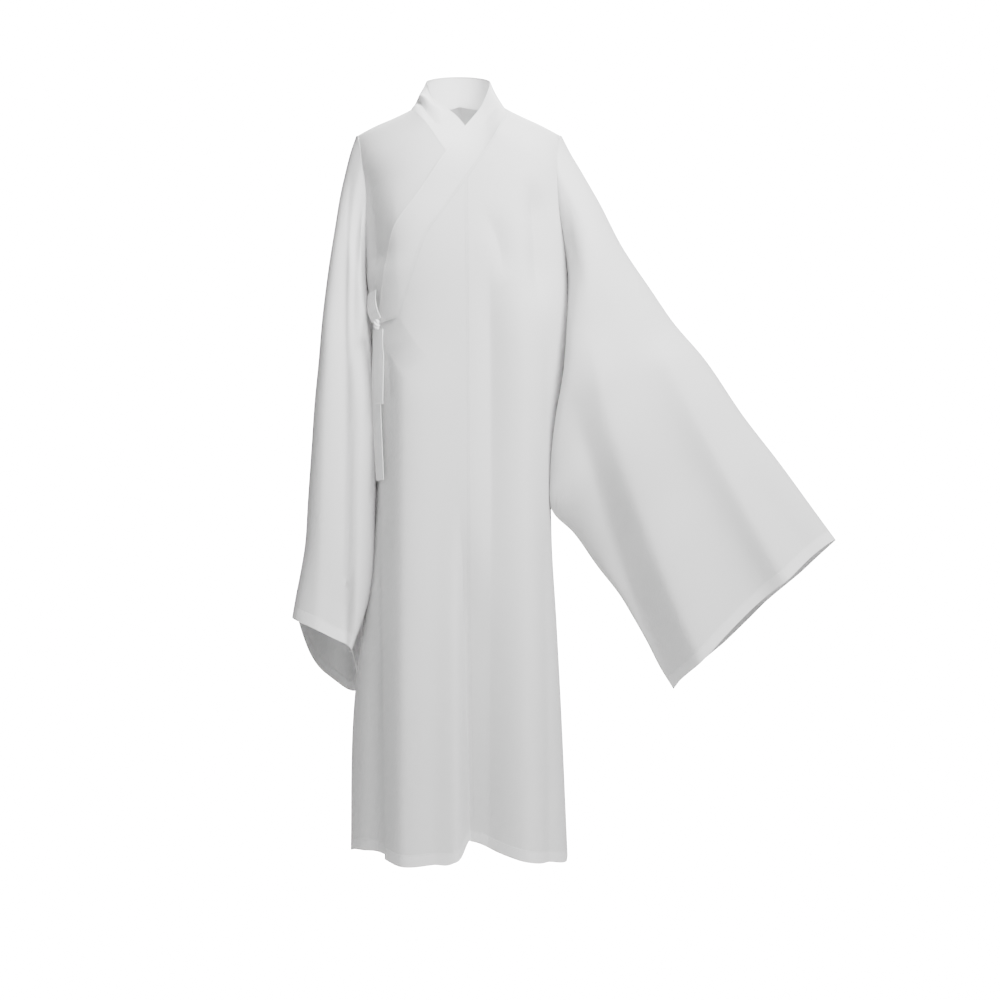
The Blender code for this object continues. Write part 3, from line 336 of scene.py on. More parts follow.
def fold_height(table, x, z):
    """Sum of a table's troughs and ridges at points of the front view."""
    total = np.zeros_like(x)
    for x0, z0, x1, z1, bow, left, right, deep0, deep1, fade0, fade1 in table:
        reach = math.hypot(x1 - x0, z1 - z0)
        ux, uz = (x1 - x0) / reach, (z1 - z0) / reach
        t = ((x - x0) * ux + (z - z0) * uz) / reach
        tc = np.clip(t, 0, 1)
        d = ux * (z - z0) - uz * (x - x0) - bow * 4 * tc * (1 - tc)
        shape = np.exp(-(np.abs(d) / np.where(d < 0, left, right)) ** FOLD_PROFILE)
        ends = ease(t / fade0) * (ease((1 - t) / fade1) if fade1 else 1.0)
        total += (deep0 + (deep1 - deep0) * tc) * shape * ends
    return total


# ---- the body surface ----


def plan(a):
    """Unit plan section at angle a: 0 is the wearer's left, -pi/2 the front."""
    c, s = np.cos(a), np.sin(a)
    r = (np.abs(c) ** SQUARENESS + np.abs(s) ** SQUARENESS) ** (-1 / SQUARENESS)
    return r * c, r * s


def angle_of_depth(ys):
    """Plan angle at the wearer's left where the unit section has depth ys."""
    xs = (1 - np.abs(ys) ** SQUARENESS) ** (1 / SQUARENESS)
    return np.arctan2(ys, xs)


def section(z):
    """Half widths to the left and right and depths to the front and back at height z."""
    return [curve(SECTIONS, z, column) for column in range(1, 5)]


def unit_share(value, plus, minus):
    """The unit section's x or y where the body's is value, from its sizes on both sides."""
    share = value / np.where(value > 0, plus, minus)
    for _ in range(6):          # settles in a few rounds
        share = np.clip(2 * value / ((plus + minus) + (plus - minus) * share), -1, 1)
    return share


def body(a, w, front_folds=FRONT_FOLDS):
    """Point of the body surface at plan angle a and w metres down from the shoulder ridge."""
    xs, ys = plan(a)
    turn = np.clip(w / ROUNDING, 0, math.pi / 2)
    drop = ROUNDING * (1 - np.cos(turn)) + np.maximum(w - ROUNDING * math.pi / 2, 0)
    z = curve(RIDGE, np.abs(xs) * SHOULDER_HALF) - drop
    left, right, front, back = section(z)
    x = xs * ((left + right) + (left - right) * xs) / 2
    y = ys * ((back + front) + (back - front) * ys) / 2 * np.sin(turn)
    nx = np.sign(xs) * np.abs(xs) ** (SQUARENESS - 1) / SHOULDER_HALF
    ny = np.sign(ys) * np.abs(ys) ** (SQUARENESS - 1) / BODY_DEPTH
    size = np.hypot(nx, ny)
    fold = np.where(ys < 0, fold_height(front_folds, x, z), fold_height(BACK_FOLDS, x, z))
    fold *= above(np.abs(ys), 0, SIDE_FADE)
    return np.stack([x + nx / size * fold, y + ny / size * fold, z], axis=-1)


def body_normal(a, w, front_folds=FRONT_FOLDS):
    """Outward normal of the body surface."""
    da, dw = 0.004, 0.0012      # steps for the surface's slopes, in angle and metres
    across = body(a + da, w, front_folds) - body(a - da, w, front_folds)
    down = body(a, w + dw, front_folds) - body(a, np.maximum(w - dw, 0), front_folds)
    return unit(np.cross(down, across))


def surface(aw, front_folds=FRONT_FOLDS):
    """Points and outward normals of the body surface at rows of (angle, distance down)."""
    a, w = aw[..., 0], aw[..., 1]
    return body(a, w, front_folds), body_normal(a, w, front_folds)


def down_to(a, z):
    """How far down the surface height z lies, at plan angle a."""
    xs, _ = plan(a)
    drop = np.maximum(curve(RIDGE, np.abs(xs) * SHOULDER_HALF) - z, 0)
    turn = np.arccos(np.clip(1 - drop / ROUNDING, 0, 1))
    return np.where(drop < ROUNDING, turn * ROUNDING, drop - ROUNDING + ROUNDING * math.pi / 2)


def at_front(x, z):
    """Plan angle and distance down of a front point given in front view."""
    x, z = np.asarray(x, float), np.asarray(z, float)
    left, right, _, _ = section(z)
    xs = unit_share(x, left, right)
    a = -np.arctan2((1 - np.abs(xs) ** SQUARENESS) ** (1 / SQUARENESS), xs)
    return np.stack([a, down_to(a, z)], axis=-1)


def side_limit(y, z):
    """How far in the robe's right side lets a sleeve hang, at depth y and height z."""
    _, _, front, back = section(z)
    a = math.pi - angle_of_depth(unit_share(y, back, front))
    return body(a, down_to(a, z))[..., 0] - REST


def over_lift(aw):
    """The over front's distance outside the body surface: none at its shoulder and side seam."""
    a, w = aw[..., 0], aw[..., 1]
    xs, _ = plan(a)
    return OVERLAP_LIFT * above(w, 0.004, 0.075) * below(xs, 0.99, 0.38)


# ---- shared edges, as rows of (angle, distance down) ----


def armhole_edge(side, face):
    """Armhole and side seam; side is +1 at the wearer's left, face -1 at the front."""
    q = (1 - np.cos(np.linspace(0, math.pi, ARMHOLE_NODES))) / 2
    gape = ARMHOLE_GAPE * np.maximum(np.sin(math.pi * q), 0) ** 0.7 + TIP_GAPE * (1 - q) ** 4
    arm = np.stack([angle_of_depth(face * gape), ARMHOLE_DROP * q], axis=-1)
    hem = curve(BACK_HEM, side * HEM_SIDE)
    low = np.linspace(ARMHOLE_DROP, down_to(np.array(0.0), hem), SIDE_NODES + 1)[1:]
    seam = np.stack([np.zeros_like(low), low], axis=-1)
    edge = np.concatenate([arm, seam])
    if side < 0:
        edge[:, 0] = face * math.pi - edge[:, 0]
    return edge


def shoulder_edge(x_neck, side, face):
    """Shoulder seam from the tip to the neck, on the ridge."""
    tip = (1 - TIP_GAPE ** SQUARENESS) ** (1 / SQUARENESS)
    x = np.linspace(tip, abs(x_neck) / SHOULDER_HALF, SHOULDER_NODES) * side
    y = (1 - np.abs(x) ** SQUARENESS) ** (1 / SQUARENESS)
    a = np.arctan2(face * y, x)
    return np.stack([a, np.zeros_like(a)], axis=-1)


def hem_edge(start, end, table, count, spread=None):
    """Hem nodes from one front-view x to another, at the table's heights.

    The spread gives shares of the way for evenly spaced nodes, closer where the hem steps.
    """
    share = np.linspace(0, 1, count)
    if spread is not None:
        share = np.interp(share, np.linspace(0, 1, len(spread)), spread)
    x = start + (end - start) * share
    return at_front(x, curve(table, x))


def coons(top, bottom, left, right, decay=1):
    """Grid of surface places between four edges with matching corners.

    A higher decay keeps the side edges' bends in angle out of the middle columns.
    """
    v, k = np.meshgrid(np.linspace(0, 1, len(left)), np.linspace(0, 1, len(top)), indexing="ij")
    v, k = v[..., None], k[..., None]
    ends = (1 - v) * top[None] + v * bottom[None]
    bend_left = left[:, None] - (1 - v) * top[0] - v * bottom[0]
    bend_right = right[:, None] - (1 - v) * top[-1] - v * bottom[-1]
    power = np.array([decay, 1])
    return ends + (1 - k) ** power * bend_left + k ** power * bend_right


def stand_back(grid):
    """Draws the grid's outer nodes back from its seams, square to each seam."""
    shift = np.zeros_like(grid)
    step = 0.0005               # for the surface's slopes
    every = slice(None)
    for edge, inner in (((0, every), (1, every)), ((-1, every), (-2, every)),
                        ((every, 0), (every, 1)), ((every, -1), (every, -2))):
        a, w = grid[edge][:, 0], grid[edge][:, 1]
        here = body(a, w)
        inward = unit(np.cross(body_normal(a, w), np.gradient(here, axis=0)))
        towards = body(grid[inner][:, 0], grid[inner][:, 1]) - here
        inward *= SEAM * np.sign(np.sum(inward * towards))
        by_a = (body(a + step, w) - body(a - step, w)) / (2 * step)
        by_w = (body(a, w + step) - here) / step
        aa, ww, aw = (by_a ** 2).sum(-1), (by_w ** 2).sum(-1), (by_a * by_w).sum(-1)
        ra, rw = (by_a * inward).sum(-1), (by_w * inward).sum(-1)
        det = aa * ww - aw * aw
        shift[edge] += np.stack([(ra * ww - rw * aw) / det, (rw * aa - ra * aw) / det], axis=-1)
    return grid + shift


# ---- materials ----


def fill(node, given):
    """Gives a node's inputs their values, as sockets to link or as plain values."""
    for label, value in dict(given).items():
        if hasattr(value, "is_linked"):
            node.id_data.links.new(value, node.inputs[label])
        else:
            node.inputs[label].default_value = value
    return node


def add_node(tree, kind, given=(), **settings):
    """A new node with its settings and the values of its inputs."""
    node = tree.nodes.new("ShaderNode" + kind)
    for name, value in settings.items():
        setattr(node, name, value)
    return fill(node, given)


def group(name, inputs, output, build):
    """A node group that gives out one value; build(tree, given) adds its nodes and returns it."""
    tree = bpy.data.node_groups.new(name, "ShaderNodeTree")
    for label, kind in inputs.items():
        tree.interface.new_socket(label, in_out="INPUT", socket_type="NodeSocket" + kind)
    tree.interface.new_socket(output, in_out="OUTPUT", socket_type="NodeSocketFloat")
    given = tree.nodes.new("NodeGroupInput").outputs
    tree.links.new(build(tree, given), tree.nodes.new("NodeGroupOutput").inputs[output])
    return tree


def use(tree, shared, given):
    """The result of a shared node group."""
    return add_node(tree, "Group", given, node_tree=shared).outputs[0]


def maths(tree, operation, *values):
    """The result of a maths node."""
    return add_node(tree, "Math", enumerate(values), operation=operation).outputs[0]


def span(tree, value, low, high):
    """0 below low, 1 above high, smooth between."""
    ends = {"Value": value, "From Min": low, "From Max": high}
    return add_node(tree, "MapRange", ends, interpolation_type="SMOOTHSTEP").outputs[0]


def noise(tree, vector, scale, detail):
    """Soft noise over a vector."""
    return add_node(tree, "TexNoise", {"Vector": vector, "Scale": scale, "Detail": detail}).outputs["Fac"]


def parts(tree, vector):
    """The x, y and z of a vector."""
    return add_node(tree, "SeparateXYZ", {0: vector}).outputs


def build_weave(tree, given):
    """Height of a plain weave: threads over and under each other, a little uneven."""
    x, y, _ = parts(tree, given["Cloth"])
    turn = maths(tree, "DIVIDE", 2 * math.pi, given["Thread"])
    across = maths(tree, "SINE", maths(tree, "MULTIPLY", x, turn))
    down = maths(tree, "SINE", maths(tree, "MULTIPLY", y, turn))
    woven = maths(tree, "MULTIPLY", across, down)
    uneven = maths(tree, "MULTIPLY", noise(tree, given["Cloth"], scale=260.0, detail=3.0), 1.6)
    return maths(tree, "ADD", maths(tree, "MULTIPLY", woven, 0.5), uneven)


def build_stitches(tree, given):
    """A dashed line at one distance from an edge."""
    off = maths(tree, "ABSOLUTE", maths(tree, "SUBTRACT", given["Distance"], given["At"]))
    line = maths(tree, "SUBTRACT", 1.0, span(tree, off, 0.0002, 0.0006))
    dash = maths(tree, "PINGPONG", given["Along"], STITCH_STEP)
    return maths(tree, "MULTIPLY", line, span(tree, dash, 0.0002, 0.0005))


def build_turned(tree, given):
    """1 on the doubled cloth of a turned hem, 0 beyond it."""
    past = maths(tree, "SUBTRACT", given["Distance"], given["Width"])
    return maths(tree, "SUBTRACT", 1.0, span(tree, past, -0.0006, 0.0006))


def build_pucker(tree, given):
    """Small waves square to a seam that die away from it."""
    waves = maths(tree, "SUBTRACT", noise(tree, given["Cloth"], scale=55.0, detail=2.0), 0.5)
    near = maths(tree, "SUBTRACT", 1.0, span(tree, given["Distance"], 0.0, PUCKER_REACH))
    return maths(tree, "MULTIPLY", waves, near)


weave = group("weave", {"Cloth": "Vector", "Thread": "Float"}, "Height", build_weave)
stitches = group("stitches", {"Distance": "Float", "Along": "Float", "At": "Float"}, "Mask", build_stitches)
turned = group("turned_hem", {"Distance": "Float", "Width": "Float"}, "Mask", build_turned)
pucker = group("pucker", {"Distance": "Float", "Cloth": "Vector"}, "Height", build_pucker)


def fabric(name, grey, hem_width, through):
    """Thin white woven cloth: weave, turned hems with stitches and a lighter band that is partly a painted
    highlight, seam puckers, light let through.
    """
    mat = bpy.data.materials.new(name)
    mat.use_nodes = True
    tree = mat.node_tree
    lie = add_node(tree, "UVMap", uv_map="cloth").outputs[0]
    x, y, _ = parts(tree, lie)
    run = maths(tree, "ADD", x, y)
    hem, seam, _ = parts(tree, add_node(tree, "Attribute", attribute_name="edges").outputs["Vector"])
    threads = use(tree, weave, {"Cloth": lie, "Thread": THREAD})
    doubled = use(tree, turned, {"Distance": hem, "Width": hem_width})
    sewn = use(tree, stitches, {"Distance": hem, "Along": run, "At": hem_width - STITCH_INSET})
    topped = use(tree, stitches, {"Distance": seam, "Along": run, "At": TOPSTITCH})
    drawn = use(tree, pucker, {"Distance": seam, "Cloth": lie})
    thread_mask = maths(tree, "MAXIMUM", sewn, topped)
    height = maths(tree, "ADD", maths(tree, "MULTIPLY", threads, WEAVE_DEPTH),
                   maths(tree, "MULTIPLY", doubled, HEM_STEP))
    height = maths(tree, "SUBTRACT", height, maths(tree, "MULTIPLY", thread_mask, STITCH_DEPTH))
    height = maths(tree, "ADD", height, maths(tree, "MULTIPLY", drawn, PUCKER_DEPTH))
    bumped = add_node(tree, "Bump", {"Strength": 1.0, "Distance": 1.0, "Height": height}).outputs["Normal"]
    cloudy = noise(tree, add_node(tree, "TexCoord").outputs["Object"], scale=7.0, detail=3.0)
    shade = maths(tree, "MULTIPLY_ADD", cloudy, 0.03, 0.985)
    shade = maths(tree, "SUBTRACT", shade, maths(tree, "MULTIPLY", thread_mask, 0.06))
    # the turned hem's doubled cloth is painted lighter: partly the real thicker cloth, partly a painted
    # highlight along the hem strips
    shade = maths(tree, "ADD", shade, maths(tree, "MULTIPLY", doubled, 0.02))
    tone = add_node(tree, "VectorMath", {0: (grey, grey, grey), "Scale": shade}, operation="SCALE")
    tone = tone.outputs[0]
    shader = fill(tree.nodes["Principled BSDF"], {
        "Base Color": tone, "Normal": bumped, "Roughness": 0.78, "Metallic": 0.0,
        "Specular IOR Level": 0.25, "Sheen Weight": 0.12, "Sheen Roughness": 0.5})
    glow = add_node(tree, "BsdfTranslucent", {"Color": tone, "Normal": bumped})
    share = maths(tree, "MULTIPLY_ADD", doubled, -0.5 * through, through)
    mix = add_node(tree, "MixShader", {0: share, 1: shader.outputs[0], 2: glow.outputs[0]})
    fill(tree.nodes["Material Output"], {"Surface": mix.outputs[0]})
    return mat


# ---- cloth pieces ----


def add_object(name, data):
    """A new object in the scene."""
    obj = bpy.data.objects.new(name, data)
    bpy.context.collection.objects.link(obj)
    return obj


def cloth(name, outer, inner, mat, tube=False, free=()):
    """Thin cloth of two faces; free names its turned edges, and the others are seams."""
    rows, cols = outer.shape[:2]
    across, down = lengths(outer, 1), lengths(outer, 0)
    off = {"top": down, "bottom": down[-1:] - down, "left": across, "right": across[:, -1:] - across}
    if tube:
        del off["left"], off["right"]
    far = np.full((rows, cols), NO_EDGE)
    hem = np.minimum.reduce([far] + [off[k] for k in off if k in free])
    seam = np.minimum.reduce([far] + [off[k] for k in off if k not in free])
    lie = np.stack([across - across[:, cols // 2, None], down], axis=-1) + LIE_START
    # x, y and z hold the column, row and layer until the points are set
    bm = bmesh.new()
    bmesh.ops.create_grid(bm, x_segments=cols - 1, y_segments=rows - 1, size=0.5)
    for v in bm.verts:
        v.co = (round((v.co.x + 0.5) * (cols - 1)), round((v.co.y + 0.5) * (rows - 1)), 0)
    raised = bmesh.ops.extrude_face_region(bm, geom=bm.faces[:], use_keep_orig=True)["geom"]
    bmesh.ops.translate(bm, verts=[g for g in raised if isinstance(g, bmesh.types.BMVert)], vec=(0, 0, 1))
    if tube:
        ends = [f for f in bm.faces if all(v.co.x < 0.5 for v in f.verts)
                or all(v.co.x > cols - 1.5 for v in f.verts)]
        bmesh.ops.delete(bm, geom=ends, context="FACES")
    uv = bm.loops.layers.uv.new("cloth")
    edges = bm.verts.layers.float_vector.new("edges")
    for f in bm.faces:
        for loop in f.loops:
            x, y, _ = loop.vert.co
            loop[uv].uv = lie[int(y + 0.5), int(x + 0.5)]
    for v in bm.verts:
        col, row, layer = (int(c + 0.5) for c in v.co)
        v.co = (outer if layer else inner)[row, col]
        v[edges] = (hem[row, col], seam[row, col], layer)
    if tube:
        bmesh.ops.remove_doubles(bm, verts=bm.verts[:], dist=MERGE)
    bmesh.ops.recalc_face_normals(bm, faces=bm.faces[:])
    if bm.calc_volume(signed=True) < 0:
        bmesh.ops.reverse_faces(bm, faces=bm.faces[:])
    mesh = bpy.data.meshes.new(name)
    bm.to_mesh(mesh)
    bm.free()
    mesh.materials.append(mat)
    mesh.shade_smooth()
    mesh.set_sharp_from_angle(angle=math.radians(60))
    return add_object(name, mesh)


def panel(name, grid, mat, lift=None, front_folds=FRONT_FOLDS):
    """A body piece: its wall lies inside the body surface, plus any lift."""
    grid = stand_back(grid)
    outer, n = surface(grid, front_folds)
    if lift is not None:
        outer = outer + n * lift(grid)[..., None]
    return cloth(name, outer, outer - n * WALL, mat, free=("bottom",))


# The collar and ties are the robe's own white cloth; their lighter grey is painted light, brightening the
# collar's shaded inside and the ties where they lie in shade.
robe_cloth = fabric("robe fabric", 0.80, hem_width=0.020, through=0.30)
collar_cloth = fabric("collar fabric", 0.92, hem_width=BAND_HEM, through=0.45)
tie_cloth = fabric("tie fabric", 0.90, hem_width=BAND_HEM, through=0.30)
made = {}

# ---- seam nodes ----
over_line = along([row[:2] for row in OVER_BAND], LINE_POINTS)
under_line = along([row[:2] for row in UNDER_BAND], LINE_POINTS)
cross = int(np.argmin(np.hypot(*(over_line - CENTRE_SEAM[0]).T)))     # centre seam meets the band
corner = int(np.argmin(np.hypot(*(over_line - BAND_CORNER).T)))


def picks(line, start, end, count):
    """Indices on a seam line, evenly spaced by length on the surface."""
    spots = body(*at_front(*line[start:end + 1].T).T)
    length = lengths(spots, 0)
    return start + np.searchsorted(length, np.linspace(0, length[-1], count) - 1e-9)


over_high = picks(over_line, 0, cross, OVER_UPPER_NODES)
over_mid = picks(over_line, cross, corner, LAP_COLUMNS)
over_low = picks(over_line, corner, LINE_POINTS - 1, BAND_LOWER_NODES)
under_all = picks(under_line, 0, LINE_POINTS - 1, UNDER_NODES)
rows = ARMHOLE_NODES + SIDE_NODES

# ---- over front ----
centre = along(CENTRE_SEAM, rows - OVER_UPPER_NODES + 1)
centre[0] = over_line[cross]
centre[-1, 1] = curve(OVER_HEM, centre[-1, 0])
centre = at_front(*centre.T)
neck_over = at_front(*over_line[over_high].T)
neck_over[0, 1] = 0.0

left = armhole_edge(1, -1)
right = np.concatenate([neck_over, centre[1:]])
top = shoulder_edge(OVER_BAND[0][0], 1, -1)
top[-1] = right[0]
bottom = hem_edge(HEM_LEFT, CENTRE_SEAM[-1][0], OVER_HEM, SHOULDER_NODES)
bottom[0], bottom[-1] = left[-1], right[-1]
made["over_front_main"] = panel("over_front_main_cloth", coons(top, bottom, left, right), robe_cloth,
                                over_lift)

free = along(OVER_EDGE_BELOW, len(centre) - BAND_LOWER_NODES)
free[0, 1] -= LAP_STEP
free[-1, 1] = curve(OVER_HEM, free[-1, 0])
right = at_front(*np.concatenate([over_line[over_low], free]).T)
top = at_front(*over_line[over_mid].T)
bottom = hem_edge(CENTRE_SEAM[-1][0], free[-1, 0], OVER_HEM, LAP_COLUMNS,
                  (0, .08, .13, .17, .21, .28, .40, .55, .70, .86, 1))
bottom[0], bottom[-1] = centre[-1], right[-1]
made["over_front_lap"] = panel("over_front_lap_cloth", coons(top, bottom, centre, right), robe_cloth,
                               over_lift)

# ---- under front ----


def under_lift(aw):
    """The under front's distance outside the body surface, below 0 as it lies inside."""
    xs, _ = plan(aw[..., 0])
    w = aw[..., 1]
    return (-UNDER_SIDE * above(xs, -0.85, 0.25) * above(w, 0.20, 0.12)
            - UNDER_MIDDLE * above(xs, -0.05, 0.25) * above(w, 0.16, 0.10)
            - UNDER_RECESS * above(xs, -0.50, 0.40) * above(w, 0.55, 0.50))


left = armhole_edge(-1, -1)
free = along(UNDER_EDGE_BELOW, rows - UNDER_NODES)
free[-1, 1] = curve(UNDER_HEM, free[-1, 0])
right = at_front(*np.concatenate([under_line[under_all], free]).T)
right[0, 1] = 0.0
top = shoulder_edge(UNDER_BAND[0][0], -1, -1)
bottom = hem_edge(HEM_RIGHT, free[-1, 0], UNDER_HEM, len(top),
                  (0, .055, .11, .165, .22, .28, .35, .46, .70, 1))
top[0], top[-1] = left[0], right[0]
bottom[0], bottom[-1] = left[-1], right[-1]
made["under_front"] = panel("under_front_cloth", coons(top, bottom, left, right), robe_cloth, under_lift,
                            UNDER_FOLDS)

# ---- back ----
round_neck = np.linspace(0, math.pi, NECK_NODES)
neck_mid = (OVER_BAND[0][0] + UNDER_BAND[0][0]) / 2
neck_half = (OVER_BAND[0][0] - UNDER_BAND[0][0]) / 2
neck_x = neck_mid + neck_half * np.cos(round_neck)
xs = np.abs(neck_x) / SHOULDER_HALF
ys = (1 - xs ** SQUARENESS) ** (1 / SQUARENESS)
ridge_depth = SECTIONS[0][4]
turn = np.arcsin(np.clip(NECK_HALF_DEPTH * np.sin(round_neck) / (ys * ridge_depth), 0, 1))
neck_back = np.stack([np.arctan2(ys, neck_x / SHOULDER_HALF), turn * ROUNDING], axis=-1)

left, right = armhole_edge(1, 1), armhole_edge(-1, 1)
top = np.concatenate([shoulder_edge(neck_x[0], 1, 1)[:-1], neck_back,
                      shoulder_edge(neck_x[-1], -1, 1)[-2::-1]])
hem_x = np.linspace(HEM_LEFT, HEM_RIGHT, len(top))
hem_a = np.linspace(0, math.pi, len(top))
bottom = np.stack([hem_a, down_to(hem_a, curve(BACK_HEM, hem_x))], axis=-1)
bottom[0], bottom[-1] = left[-1], right[-1]
made["back"] = panel("back_cloth", coons(top, bottom, left, right, decay=4), robe_cloth)

# ---- collar band ----


def band_rows(table, line, picked, lift):
    """Points across the band at the picked seam nodes, with the seam's own normals."""
    table = np.array(table)
    step = lengths(table[:, :2], 0)
    at = picked / (LINE_POINTS - 1) * step[-1]
    edge = np.stack([curve(list(zip(step, table[:, c])), at) for c in range(2, 6)], axis=-1)
    seam = at_front(*line[picked].T)
    seam[picked == 0, 1] = 0.0
    on_chest = at_front(edge[:, 0], edge[:, 2])
    k = ACROSS_BAND[None, :, None]
    places = seam[:, None] + (on_chest - seam)[:, None] * k
    lying, lying_n = surface(places)
    lying = lying + lying_n * lift(places)[..., None]
    root, root_n = surface(seam)
    root = root + root_n * lift(seam)[:, None]
    standing = root[:, None] + (edge[:, :3] - root)[:, None] * k
    share = edge[:, 3][:, None, None]
    return lying * (1 - share) + standing * share, root_n


def nape_rows():
    """Points across the collar round the back of the neck, with the seam's own normals."""
    root, root_n = surface(neck_back)
    inside = above(np.sin(round_neck), 0, 0.5)[:, None]
    root = root - (root_n * NAPE_TUCK + np.array([0.0, 0.0, NAPE_DIP])) * inside
    middle = (OVER_BAND[0][2] + UNDER_BAND[0][2]) / 2
    half = (OVER_BAND[0][2] - UNDER_BAND[0][2]) / 2
    low = (OVER_BAND[0][4] + UNDER_BAND[0][4]) / 2
    rim = np.stack([middle + half * np.cos(round_neck), COLLAR_HALF_DEPTH * np.sin(round_neck),
                    low + COLLAR_RISE * np.sin(round_neck)], axis=-1)
    return root[:, None] + (rim - root)[:, None] * ACROSS_BAND[None, :, None], root_n


over_all = np.concatenate([over_high, over_mid[1:], over_low[1:]])
over_points, over_n = band_rows(OVER_BAND, over_line, over_all, over_lift)
under_points, under_n = band_rows(UNDER_BAND, under_line, under_all, under_lift)
nape, root_n = nape_rows()
outer = np.concatenate([over_points[::-1], nape[1:-1], under_points])
seam_n = np.concatenate([over_n[::-1], root_n[1:-1], under_n])
along_d, across_d = np.gradient(outer, axis=0), np.gradient(outer, axis=1)
normal = unit(np.cross(along_d, across_d))
if np.sum(normal[:, 0] * seam_n) < 0:
    normal = -normal
# where the band lies on the chest its seam keeps the chest's normal, and where it stands its own
heading = unit(outer[:, 1] - outer[:, 0])
rises = above(np.sum(heading * seam_n, axis=-1, keepdims=True), 0, 0.25)
normal[:, 0] = unit(seam_n * (1 - rises) + normal[:, 1] * rises)
# it stands back from its seam, further where it stands up, and from its two ends
off_seam = unit(np.cross(seam_n, along_d[:, 0]))
outer[:, 0] += off_seam * (1.6 + 2.4 * rises) * SEAM * np.sign(np.sum(off_seam * across_d[:, 0]))
for end, before in ((0, 1), (-1, -2)):
    gap = np.linalg.norm(outer[before] - outer[end], axis=-1, keepdims=True)
    outer[end] += (outer[before] - outer[end]) * SEAM / gap
# creases only where it faces the front, and none at the seam
facing = below(normal[..., 1], 0.05, 0.35) * below(outer[..., 1], 0.10, 0.05)
creased = fold_height(COLLAR_FOLDS, outer[..., 0], outer[..., 2]) * facing
creased = creased * above(ACROSS_BAND, 0, 0.12)
outer = outer + normal * creased[..., None]
made["collar_band"] = cloth("collar_band_cloth", outer, outer - normal * WALL, collar_cloth,
                            free=("right",))

# ---- sleeves ----


def tube_points(upper, lower, sections, front_folds, back_folds, fall):
    """Rings of a sleeve through sections between its two edges, with its folds.

    A ring starts at the upper edge and goes round by the front. The faces' drops are measured along
    the sleeve, or along fall where it is given.
    """
    share = np.linspace(0, 1, SLEEVE_ROWS)
    high, low = along(upper, SLEEVE_ROWS), along(lower, SLEEVE_ROWS)
    top = np.stack([high[:, 0], 0 * share, high[:, 1]], axis=-1)[:, None]
    bottom = low[:, None, (0, 2, 1)]
    place, front, back, front_drop, back_drop, lean, quarter = (
        curve(sections, share, column)[:, None, None] for column in range(1, 8))
    middle = top + (bottom - top) * place
    axis = np.gradient(middle[:, 0], axis=0)[:, None]
    axis = unit(axis) if fall is None else np.array(fall)
    aside, y = np.array([1.0, 0.0, 0.0]), np.array([0.0, 1.0, 0.0])
    turn = np.linspace(0, 2 * math.pi, RING_NODES)
    c, s = np.cos(turn)[None, :, None], np.sin(turn)[None, :, None]

    def power(v):
        return np.maximum(v, 0) ** quarter

    points = (middle + (top - middle) * power(c) + (bottom - middle) * power(-c)
              + (axis * front_drop - y * front) * power(s)
              + (axis * back_drop + y * back) * power(-s)
              + aside * lean * np.maximum(s, 0) ** 2 * (0.5 - 0.5 * c))
    x, z = points[..., 0], points[..., 2]
    fold = np.where(s[..., 0] > 0, -fold_height(front_folds, x, z), fold_height(back_folds, x, z))
    points[..., 1] += fold * above(np.abs(s[..., 0]), 0, 0.5)
    return points


def armhole_ring(side):
    """The armhole's nodes as a ring a little off the body, with the body's normals."""
    edges = [armhole_edge(side, face)[:ARMHOLE_NODES] for face in (-1, 1)]
    hole, n = surface(np.concatenate([edges[0], edges[1][-2::-1]]))
    inward = hole.mean(axis=0) - hole
    inward = unit(inward - n * np.sum(inward * n, axis=-1, keepdims=True))
    hole = hole + n * ROOT_OUT + inward * ROOT_IN
    hole[0] = hole[-1] = (hole[0] + hole[-1]) / 2
    n[0] = n[-1] = n[0] + n[-1]
    return hole, n


def tube_normals(points):
    """Outward normals of a closed tube's rings."""
    ahead = np.concatenate([points[:, 1:], points[:, 1:2]], axis=1)
    behind = np.concatenate([points[:, -2:-1], points[:, :-1]], axis=1)
    normal = unit(np.cross(np.gradient(points, axis=0), ahead - behind))
    outward = points - points[:, :-1].mean(axis=1, keepdims=True)
    return normal if np.sum(normal * outward) >= 0 else -normal


def sleeve(name, side, upper, lower, sections, front_folds, back_folds, fall=None):
    """A tube from the armhole's nodes to the cuff."""
    points = tube_points(upper, lower, sections, front_folds, back_folds, fall)
    share = np.linspace(0, 1, SLEEVE_ROWS)
    down = np.cos(np.linspace(0, 2 * math.pi, RING_NODES))     # 1 at the upper edge, -1 at the lower
    hole, hole_n = armhole_ring(side)
    points = points + (hole - points[0])[None] * (1 - above(share, 0, ROOT_BLEND))[:, None, None]
    # past the armhole the side next to the body stands off it, less at the lower edge
    clear = above(share, 0, 0.055) * (1 - above(share, 0.25, 0.25))
    near = below(down, 0.4, 0.9) * (1 - 0.8 * below(down, -0.45, 0.5))
    points[..., 0] += side * ARM_CLEAR * clear[:, None] * near
    if side < 0:
        # the hanging sleeve rests against the robe's side
        over = np.maximum(points[..., 0] - side_limit(points[..., 1], points[..., 2]), 0)
        points[..., 0] -= over * below(points[..., 2], REST_BELOW, 0.05)
    normal = tube_normals(points)
    shared = above(down, -0.95, 0.8)[:, None]
    normal[0] = unit(hole_n * shared + normal[0] * (1 - shared))
    return cloth(name, points, points - normal * WALL, robe_cloth, tube=True, free=("bottom",))


made["left_sleeve"] = sleeve("left_sleeve_cloth", 1, LEFT_UPPER, LEFT_LOWER, LEFT_SECTIONS,
                             LEFT_FRONT, LEFT_BACK)
made["right_sleeve"] = sleeve("right_sleeve_cloth", -1, RIGHT_UPPER, RIGHT_LOWER, RIGHT_SECTIONS,
                              RIGHT_FRONT, RIGHT_BACK, fall=(0.1, 0.0, -1.0))

# ---- ties ----


